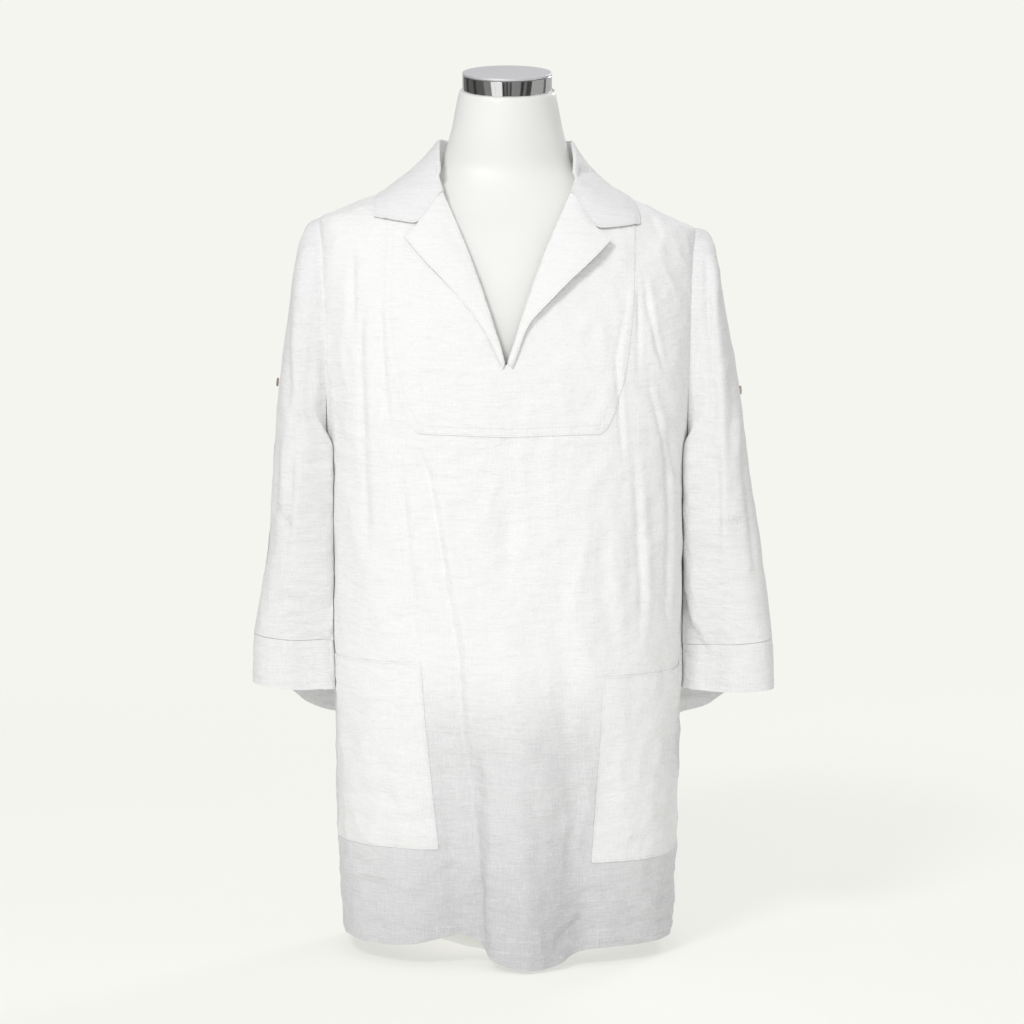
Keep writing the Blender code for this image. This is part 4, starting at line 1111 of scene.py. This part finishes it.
def beside_edge(sheet, inset, wanted):
    """Lines that run beside the edge, at an inset, where a test allows."""
    points, normals = arrays(sheet)
    lines = []
    for ring in edge_loops(sheet):
        line = []
        for before, here, after in zip(ring[-2:] + ring[:-2], ring, ring[1:] + ring[:1]):
            p = Vector(points[here])
            if not wanted(p):
                if len(line) > SHORTEST:
                    lines.append(line)
                line = []
                continue
            along = Vector(points[after]) - Vector(points[before])
            inward = Vector(normals[here]).cross(along).normalized()
            line.append((p + inward * inset, Vector(normals[here])))
        if len(line) > SHORTEST:
            lines.append(line)
    return lines


# %% [markdown]
# Along a line a stitch is set every few millimetres. A ray finds the finished
# cloth there, and the stitch is turned to lie on it.

# %% Sewing
SEEK = 0.006
SHORTEST_SPAN = 1e-6
LONGEST_SPAN = 0.03


def sew(name, rows):
    """One mesh of stitches along (piece, inset, test) rows."""
    corners, faces = [], []
    for node, inset, wanted in rows:
        cloth = tree_of([shirt[node]["piece"]])
        for line in beside_edge(shirt[node]["open"], inset, wanted):
            left = 0.0
            for (a, normal), (b, _) in zip(line, line[1:]):
                span = (b - a).length
                if span < SHORTEST_SPAN or span > LONGEST_SPAN:
                    continue
                while left < span:
                    spot = a.lerp(b, left / span)
                    left += STITCH_STEP
                    hit, up, _, _ = cloth.ray_cast(spot + normal * SEEK, -normal, 2 * SEEK)
                    if hit is None:
                        continue
                    way = (b - a).normalized()
                    across = up.cross(way).normalized()
                    turn = Matrix((way, across, up)).transposed()
                    start = len(corners)
                    turned = stitch_points @ np.array(turn).T
                    corners += [Vector(q) + hit + up * STITCH_THICK * STITCH_UP for q in turned]
                    faces += [[start + i for i in face] for face in stitch_faces]
                left -= span
    mesh = bpy.data.meshes.new(name)
    mesh.from_pydata(corners, [], faces)
    mesh.polygons.foreach_set("use_smooth", [True] * len(faces))
    thing = bpy.data.objects.new(name, mesh)
    bpy.context.collection.objects.link(thing)
    print(f"{name}: {len(faces) // len(stitch_faces)} stitches")
    return thing


# %% [markdown]
# Each row of stitches names a piece, its distance from that piece's edge and a
# test for the edge points that it follows. Without a test a row would also run
# along edges that lie under another piece, such as the shoulder seams under
# the collar.

# %% The shirt's rows
ARMHOLE_HEIGHTS = (0.50, 0.775)
ARMHOLE_OUT = 0.16
SHOULDER = 0.76
BIB_CORNER = 0.56
NECK = 0.80
BIB_SEAM = 0.0016


def everywhere(point):
    """True for every edge point."""
    return True


def armhole(point):
    """True for an edge point of the front or back at a sleeve."""
    low, high = ARMHOLE_HEIGHTS
    return low < point.z < high and abs(point.x) > ARMHOLE_OUT


def under(height):
    """A test that is true for edge points under this height."""
    return lambda point: point.z < height


rows = [(node, HEM_TURN, is_hem) for node in ("front", "back")]
rows += [(node, BODY_SEAM, armhole) for node in ("front", "back")]
rows += [("bib", BIB_SEAM, under(SHOULDER)), ("bib", TWIN_SEAM, under(BIB_CORNER))]
rows += [(f"pocket_{hand}", EDGE_SEAM, everywhere) for hand in HANDS]
rows += [(f"tab_{hand}", EDGE_SEAM, everywhere) for hand in HANDS]
rows += [(f"cuff_{hand}", TWIN_SEAM, everywhere) for hand in HANDS]
rows += [("collar", EDGE_SEAM, under(NECK))]
rows += [(f"lapel_{hand}", EDGE_SEAM, under(SHOULDER)) for hand in HANDS]
stitching = sew("stitching", rows)

# %% [markdown]
# The thread is white, a little glossier than the linen and twisted. A twist
# modelled on each stitch would cost many faces, so fine noise stands for it.

# %% Thread finish
THREAD_LIGHT = (0.90, 0.90, 0.875, 1)
THREAD_SHADE = (0.70, 0.70, 0.67, 1)
thread = Finish("thread", Sheen_Weight=0.2, Specular_IOR_Level=0.3)
twist = thread.noise((1600, 1600, 1600), 2)
thread.paint(twist.step(0.35, 0.75), THREAD_LIGHT, THREAD_SHADE)
thread.feed("Roughness", 0.62 + twist * 0.2)
thread.bump(twist, 0.4, 0.0002)
thread.put_on(stitching)
print("stitching faces", len(stitching.data.polygons))

# %% [markdown]
# ## The form
# The form is a hard white body with a satin skin: no head, no limbs. The solid
# has it in few facets. Smooth shading alone would leave corners in its outline,
# so it is merged, joined into quads and subdivided. Its sharp edges at the neck
# and the foot are creased first, to keep them. The throat is smoothed more than
# the rest, because the V shows it whole and a facet's edge would catch light.

# %% The form's body
SHARP = math.radians(38)
JOIN_ANGLE = 0.7
NECK_EDGE = 0.86
FOOT_EDGE = 0.01
THROAT = 0.828
THROAT_SPAN = 0.048
THROAT_FRONT = -0.01
THROAT_DEPTH = 0.05

work = bmesh.new()
work.from_mesh(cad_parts["form_torso"].data)
bmesh.ops.remove_doubles(work, verts=work.verts, dist=MERGE)
bmesh.ops.join_triangles(
    work, faces=work.faces, angle_face_threshold=JOIN_ANGLE, angle_shape_threshold=math.pi
)
held = work.edges.layers.float.new("crease_edge")
for edge in work.edges:
    ends = [v.co.z for v in edge.verts]
    foot = max(ends) < FOOT_EDGE
    if edge.calc_face_angle(0) > SHARP and (min(ends) > NECK_EDGE or foot):
        edge[held] = 1.0 if foot else 0.5
form = object_from("form_skin", work)
refine(form, 2)
throat = form.vertex_groups.new(name="throat")
for v in form.data.vertices:
    nearness = 1 - abs(v.co.z - THROAT) / THROAT_SPAN
    if nearness > 0 and v.co.y < THROAT_FRONT:
        ahead = min(1, (THROAT_FRONT - v.co.y) / THROAT_DEPTH)
        throat.add([v.index], min(1, nearness * 1.5) * ahead, "REPLACE")
modify(form, "SMOOTH", factor=0.6, iterations=170, vertex_group="throat")
smooth(form)

# %% [markdown]
# The skin is a hard white paint, a little clouded, with a grain too fine to see
# from a step away. Its slight gloss could be a lower roughness, but a thin coat
# over a duller base keeps the highlights soft.

# %% The form's skin
FORM_LIGHT = (0.855, 0.862, 0.835, 1)
FORM_SHADE = (0.82, 0.828, 0.80, 1)
satin = Finish("form_satin_white", Coat_Weight=0.10, Coat_Roughness=0.35)
cloud = satin.noise((14, 14, 10), 3)
grain = satin.noise((900, 900, 900), 2)
satin.paint(cloud.step(0.3, 0.8), FORM_LIGHT, FORM_SHADE)
satin.feed("Roughness", 0.42 + grain * 0.12)
satin.bump(grain, 0.15, 0.0002)
satin.put_on(form)
print("form faces", len(form.data.polygons))

# %% [markdown]
# ## The neck ring and its cap
# A polished ring closes the neck and carries a satin metal cap. Both are turned
# parts, and could be profiles spun round an axis. A plain disc with bevelled
# edges gives the same shape in fewer steps. It is added at its size and tipped
# to the front as the solids are.

# %% Ring and cap
CAP_TILT = math.radians(12)
CAP_RADIUS = 0.046
CAP_BASE = 0.889
BAND_HEIGHT = 0.0150
PLATE_HEIGHT = 0.0025
PART_GAP = 0.0003
RING_FOOT = 0.002
RING_BEVEL = 0.0009
PLATE_BEVEL = 0.0008


def turned(name, height, above, edge):
    """A turned disc of the cap's radius, tipped, this far above its base."""
    up = Vector((0, -math.sin(CAP_TILT), math.cos(CAP_TILT)))
    middle = Vector((0, 0, CAP_BASE)) + up * (above + height / 2)
    pick(camera)
    bpy.ops.mesh.primitive_cylinder_add(
        vertices=128, radius=CAP_RADIUS, depth=height, location=middle, rotation=(CAP_TILT, 0, 0)
    )
    disc = bpy.context.object
    disc.name = name
    bpy.ops.object.transform_apply(location=True, rotation=True, scale=True)
    modify(disc, "BEVEL", width=edge, segments=4, limit_method="ANGLE", angle_limit=0.8)
    smooth(disc, 35)
    return disc


ring = turned("neck_ring", BAND_HEIGHT + RING_FOOT, PART_GAP - RING_FOOT, RING_BEVEL)
cap = turned("neck_cap", PLATE_HEIGHT, 2 * PART_GAP + BAND_HEIGHT, PLATE_BEVEL)
print("ring and cap faces", len(ring.data.polygons) + len(cap.data.polygons))

# %% [markdown]
# Polish mirrors the room, so the ring's look comes from what stands round it,
# and faint streaks only break it up. The cap is brushed: short scratches make
# it dull, and its light is even.

# %% Polished and brushed metal

polished = Finish("polished_ring", Metallic=1.0)
streak = polished.noise((30, 30, 900), 2)
polished.paint(streak, (0.82, 0.82, 0.80, 1), (0.70, 0.70, 0.70, 1))
polished.feed("Roughness", 0.05 + streak * 0.05)
polished.put_on(ring)

brushed = Finish("satin_cap", Metallic=0.45)
swirl = brushed.noise((700, 60, 700), 2)
brushed.paint(swirl, (0.80, 0.79, 0.81, 1), (0.72, 0.71, 0.74, 1))
brushed.feed("Roughness", 0.42 + swirl * 0.10)
brushed.bump(swirl, 0.08, 0.0002)
brushed.put_on(cap)
print("nodes in the brushed metal", len(brushed.tree.nodes))

# %% [markdown]
# ## Buttons
# One small button holds each tab. It is turned with a brown rim round a dished
# cream face and sewn on through four holes. The holes could be painted, but
# drilled ones catch the light. One button is modelled flat at the origin: a
# disc is inset twice, its middle is pushed in, the holes are cut, and two loops
# of thread are joined to it.

# %% One button
BUTTON_RADIUS = 0.0055
BUTTON_THICK = 0.0019
BUTTON_RIM = 0.0011
BUTTON_SLOPE = 0.0006
BUTTON_DISH = 0.0007
BUTTON_BEVEL = 0.0003
HOLE = 0.0006
HOLE_OUT = 0.00135
LOOP_SIZE = (0.0017, 0.00042, 0.0004)
LOOP_OUT = 0.7
LOOP_SUNK = 0.0006

pick(camera)
bpy.ops.mesh.primitive_cylinder_add(vertices=48, radius=BUTTON_RADIUS, depth=BUTTON_THICK)
button = bpy.context.object
bpy.ops.object.mode_set(mode="EDIT")
bpy.ops.mesh.select_all(action="DESELECT")
bpy.ops.object.mode_set(mode="OBJECT")
for face in button.data.polygons:
    face.select = face.normal.z > 0.9
bpy.ops.object.mode_set(mode="EDIT")
bpy.ops.mesh.inset(thickness=BUTTON_RIM)
bpy.ops.mesh.inset(thickness=BUTTON_SLOPE)
bpy.ops.transform.translate(value=(0, 0, -BUTTON_DISH))
bpy.ops.object.mode_set(mode="OBJECT")
modify(button, "BEVEL", width=BUTTON_BEVEL, segments=3, limit_method="ANGLE", angle_limit=0.5)
for quarter in range(4):
    turn = math.pi / 4 + quarter * math.pi / 2
    spot = (HOLE_OUT * math.cos(turn), HOLE_OUT * math.sin(turn), 0)
    pick(camera)
    bpy.ops.mesh.primitive_cylinder_add(vertices=16, radius=HOLE, depth=0.01, location=spot)
    drill = bpy.context.object
    modify(button, "BOOLEAN", object=drill, operation="DIFFERENCE", solver="EXACT")
    bpy.data.objects.remove(drill)
for low in (-1, 1):
    pick(camera)
    spot = (0, low * HOLE_OUT * LOOP_OUT, BUTTON_THICK / 2 - LOOP_SUNK)
    bpy.ops.mesh.primitive_uv_sphere_add(segments=10, ring_count=8, radius=1, location=spot)
    loop = bpy.context.object
    loop.scale = LOOP_SIZE
    bpy.ops.object.transform_apply(location=True, rotation=True, scale=True)
    loop.select_set(True)
    button.select_set(True)
    bpy.context.view_layer.objects.active = button
    bpy.ops.object.join()
layer = button.data.attributes.new("out", "FLOAT", "POINT")
layer.data.foreach_set("value", [v.co.xy.length / BUTTON_RADIUS for v in button.data.vertices])
smooth(button, 35)
print("button faces", len(button.data.polygons))

# %% [markdown]
# Horn is clouded and glossy. A number on each point says how far out it lies,
# and noise on that number gives the brown rim an uneven inner edge.

# %% The button's horn
CREAM = (0.80, 0.72, 0.58, 1)
BROWN = (0.27, 0.15, 0.08, 1)
horn = Finish("button_horn", Coat_Weight=0.3, Coat_Roughness=0.15)
out = horn.kept("out")
clouds = horn.noise((900, 900, 900), 3)
horn.paint((out + clouds * 0.12).step(0.78, 0.92), CREAM, BROWN)
horn.feed("Roughness", 0.28 + clouds * 0.15)
horn.bump(clouds, 0.1, 0.0001)
horn.put_on(button)
print("nodes in the horn", len(horn.tree.nodes))

# %% [markdown]
# Each button's solid is a disc, so the shortest axis of its points is the way
# that it faces. A copy of the button is turned to that axis and laid there. The
# copies are a little smaller than the solids, and the right one is turned a
# little more to the front and stands a little farther out.

# %% Buttons in place
BUTTON_SCALE = 0.8
BUTTON_TURN = {"left": 0, "right": 25}
BUTTON_LIFT = {"left": 0, "right": 0.0022}
buttons = []
for hand, out_way in (("left", -1), ("right", 1)):
    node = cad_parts[f"button_{hand}"]
    spots = np.array([v.co[:] for v in node.data.vertices])
    middle = (spots.min(axis=0) + spots.max(axis=0)) / 2
    _, _, axes = np.linalg.svd(spots - spots.mean(axis=0), full_matrices=False)
    up = Vector(axes[2])
    if up.x * out_way < 0:
        up.negate()
    middle = Vector(middle) + up * BUTTON_LIFT[hand]
    up.rotate(Matrix.Rotation(math.radians(-BUTTON_TURN[hand] * out_way), 3, "Z"))
    copy = button.copy()
    copy.data = button.data.copy()
    copy.data.transform(Matrix.Scale(BUTTON_SCALE, 4))
    copy.name = f"sleeve_button_{hand}"
    bpy.context.collection.objects.link(copy)
    turn = up.to_track_quat("Z", "Y").to_matrix().to_4x4()
    copy.data.transform(Matrix.Translation(middle) @ turn)
    buttons.append(copy)
    print(copy.name, [round(c, 4) for c in middle], "faces", [round(c, 2) for c in up])
bpy.data.objects.remove(button)

# %% [markdown]
# ## Each piece on the body
# Every piece rides on the one body, and the solid that it replaces is hidden.
# For the cloth, the size of its cut is printed: the rectangle in metres that
# holds the piece laid flat, and the piece's own area within it.

# %% Riding and hiding the solids
CUTS = {
    "front": (0.50, 0.81),
    "back": (0.49, 0.80),
    "sleeve_left": (0.27, 0.47),
    "sleeve_right": (0.28, 0.47),
    "cuff_left": (0.26, 0.065),
    "cuff_right": (0.26, 0.065),
    "collar": (0.46, 0.125),
    "bib": (0.26, 0.34),
    "pocket_left": (0.15, 0.20),
    "pocket_right": (0.15, 0.20),
    "tab_left": (0.026, 0.22),
    "tab_right": (0.026, 0.22),
    "lapel_left": (0.08, 0.18),
    "lapel_right": (0.08, 0.18),
}
BELOW = {"bib": "front_panel", "pocket_left": "front_panel", "pocket_right": "front_panel"}
BELOW |= {"tab_left": "sleeve_panel_left", "tab_right": "sleeve_panel_right"}
BELOW |= {"cuff_left": "sleeve_panel_left", "cuff_right": "sleeve_panel_right"}
BELOW |= {"lapel_left": "bib_panel", "lapel_right": "bib_panel", "collar": "front_panel"}

for node, made in shirt.items():
    bpy.data.objects.remove(made["open"])
    piece = made["piece"]
    width, length = CUTS[node]
    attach(piece, "root")
    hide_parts(node)
    share = made["area"] / (width * length)
    print(f"{node}: cut {width} x {length} m, {made['area']:.4f} m2, {share:.2f} of it")
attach(stitching, "root")
for piece, node, slot in (
    (form, "form_torso", "form"),
    (ring, "neck_band", "chrome_band"),
    (cap, "cap_top", "cap_satin"),
    (buttons[0], "button_left", "button"),
    (buttons[1], "button_right", "button"),
):
    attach(piece, "root")
    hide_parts(node)

# %% [markdown]
# ## Floor, boards and light
# The form stands on a round pale floor. A plain plane would end in a horizon,
# so this one fades out into an equally pale room, and no edge shows from any
# side.

# %% The floor
FLOOR_RADIUS = 4.0
FLOOR_FADE = (0.7, 2.6)
PALE = (0.913, 0.913, 0.871, 1)

pick(camera)
bpy.ops.mesh.primitive_circle_add(vertices=64, radius=FLOOR_RADIUS, fill_type="NGON")
floor = bpy.context.object
floor.name = "pale_floor"
pale = Finish("pale_floor_paint", Specular_IOR_Level=0.05, Emission_Strength=0.625)
pale.shader.inputs["Emission Color"].default_value = PALE
fibre = pale.noise((3, 3, 3), 3)
pale.paint(fibre, (0.40, 0.40, 0.385, 1), (0.39, 0.39, 0.375, 1))
spot = pale.node("ShaderNodeTexCoord", output="Object")
reach = pale.node("ShaderNodeVectorMath", {"operation": "LENGTH"}, {0: spot}, output="Value")
pale.feed("Alpha", 1 - reach.step(*FLOOR_FADE))
pale.feed("Roughness", 0.85 + fibre * 0.1)
pale.put_on(floor)
print("the floor fades out from", FLOOR_FADE[0], "to", FLOOR_FADE[1], "m")

# %% [markdown]
# A polished ring in an empty room is a flat grey, so grey boards stand round
# the set, as in a photo studio. They glow with a light of their own, as bright
# as their tone, and no lamp lights them. Only glossy reflections see them: they
# give the ring its upright stripes, and neither light the cloth nor show behind
# it. A row holds a board's first and last angle in degrees, with 0 in front and
# the positive side on the right, and how bright it is.

# %% Boards for the ring's mirror
BLACK = (0.0, 0.0, 0.0, 1)
WHITE = (1.0, 1.0, 1.0, 1)
BOARD_RADIUS = 1.2
BOARD_HEIGHT = 3.0
BOARD_STEP = 4.0
BOARDS = [
    (-150, -128, 0.14),
    (-128, -118, 0.03),
    (-118, -96, 0.09),
    (-96, -88, 0.02),
    (-88, -62, 0.10),
    (-62, -42, 0.24),
    (-42, -13, 1.00),
    (-13, -7, 0.02),
    (-7, -2, 0.14),
    (-2, 2, 0.03),
    (2, 7, 0.18),
    (7, 12, 0.05),
    (12, 36, 0.24),
    (36, 44, 0.03),
    (44, 52, 0.16),
    (52, 66, 0.05),
    (66, 108, 0.40),
    (108, 118, 0.14),
]
# The boards' glow is their own light, set by their tone; their base colour is black.
grey_board = Finish("grey_board", Roughness=0.9, Emission_Strength=1.0)
tone = grey_board.kept("tone")
felt = grey_board.noise((14, 14, 0.5), 2)
soft_tone = tone * (0.7 + felt * 0.6)
grey_board.feed("Emission Color", grey_board.colour(soft_tone, BLACK, WHITE))
grey_board.paint(felt, BLACK, (0.01, 0.01, 0.01, 1))
work = bmesh.new()
shade = work.verts.layers.float.new("tone")
for low, high, grey in BOARDS:
    for first in np.arange(low, high, BOARD_STEP):
        last = min(first + BOARD_STEP, high)
        corners = []
        for angle, z in ((first, 0), (last, 0), (last, BOARD_HEIGHT), (first, BOARD_HEIGHT)):
            turn = math.radians(angle)
            x, y = BOARD_RADIUS * math.sin(turn), -BOARD_RADIUS * math.cos(turn)
            corner = work.verts.new((x, y, z))
            corner[shade] = grey
            corners.append(corner)
        work.faces.new(corners)
boards = object_from("grey_boards", work)
grey_board.put_on(boards)
boards.visible_camera = False
boards.visible_diffuse = False
boards.visible_shadow = False
boards.visible_transmission = False
print("boards", len(BOARDS), "faces", len(boards.data.polygons))

# %% [markdown]
# White cloth on a pale ground needs light that is soft but comes from
# somewhere, or its folds vanish. A lamp high on the left models them, a large
# one in front fills the shade, and a third behind on the right lights the back.
# The room adds an even light of its own. The camera sees it brighter than the
# cloth does, so the ground can be pale without washing the folds out.

# %% Lamps and room
ROOM_LIGHT = 0.53
AIM = Vector((0, 0, 0.5))
LAMPS = [
    ("lamp_key", (-1.3, -2.8, 3.0), 0.9, 58.0),
    ("lamp_front", (0.1, -4.4, 1.2), 3.0, 34.0),
    ("lamp_back", (1.9, 3.0, 2.4), 1.0, 36.0),
]
for name, where, size, power in LAMPS:
    glow = bpy.data.lights.new(name, "AREA")
    glow.shape = "SQUARE"
    glow.size = size
    glow.energy = power
    lamp = bpy.data.objects.new(name, glow)
    lamp.location = where
    lamp.rotation_euler = (AIM - Vector(where)).to_track_quat("-Z", "Y").to_euler()
    lamp.visible_camera = False
    bpy.context.collection.objects.link(lamp)

world = bpy.data.worlds.new("pale_room")
world.use_nodes = True
room = world.node_tree
seen = room.nodes["Background"]
seen.inputs["Color"].default_value = PALE
seen.inputs["Strength"].default_value = 1.0
soft = room.nodes.new("ShaderNodeBackground")
soft.inputs["Color"].default_value = WHITE
soft.inputs["Strength"].default_value = ROOM_LIGHT
path = room.nodes.new("ShaderNodeLightPath")
either = room.nodes.new("ShaderNodeMixShader")
room.links.new(path.outputs["Is Camera Ray"], either.inputs[0])
room.links.new(soft.outputs[0], either.inputs[1])
room.links.new(seen.outputs[0], either.inputs[2])
room.links.new(either.outputs[0], room.nodes["World Output"].inputs["Surface"])
bpy.context.scene.world = world
bpy.context.scene.view_settings.view_transform = "Standard"
print("lamps", len(LAMPS), "with", sum(power for *_, power in LAMPS), "W")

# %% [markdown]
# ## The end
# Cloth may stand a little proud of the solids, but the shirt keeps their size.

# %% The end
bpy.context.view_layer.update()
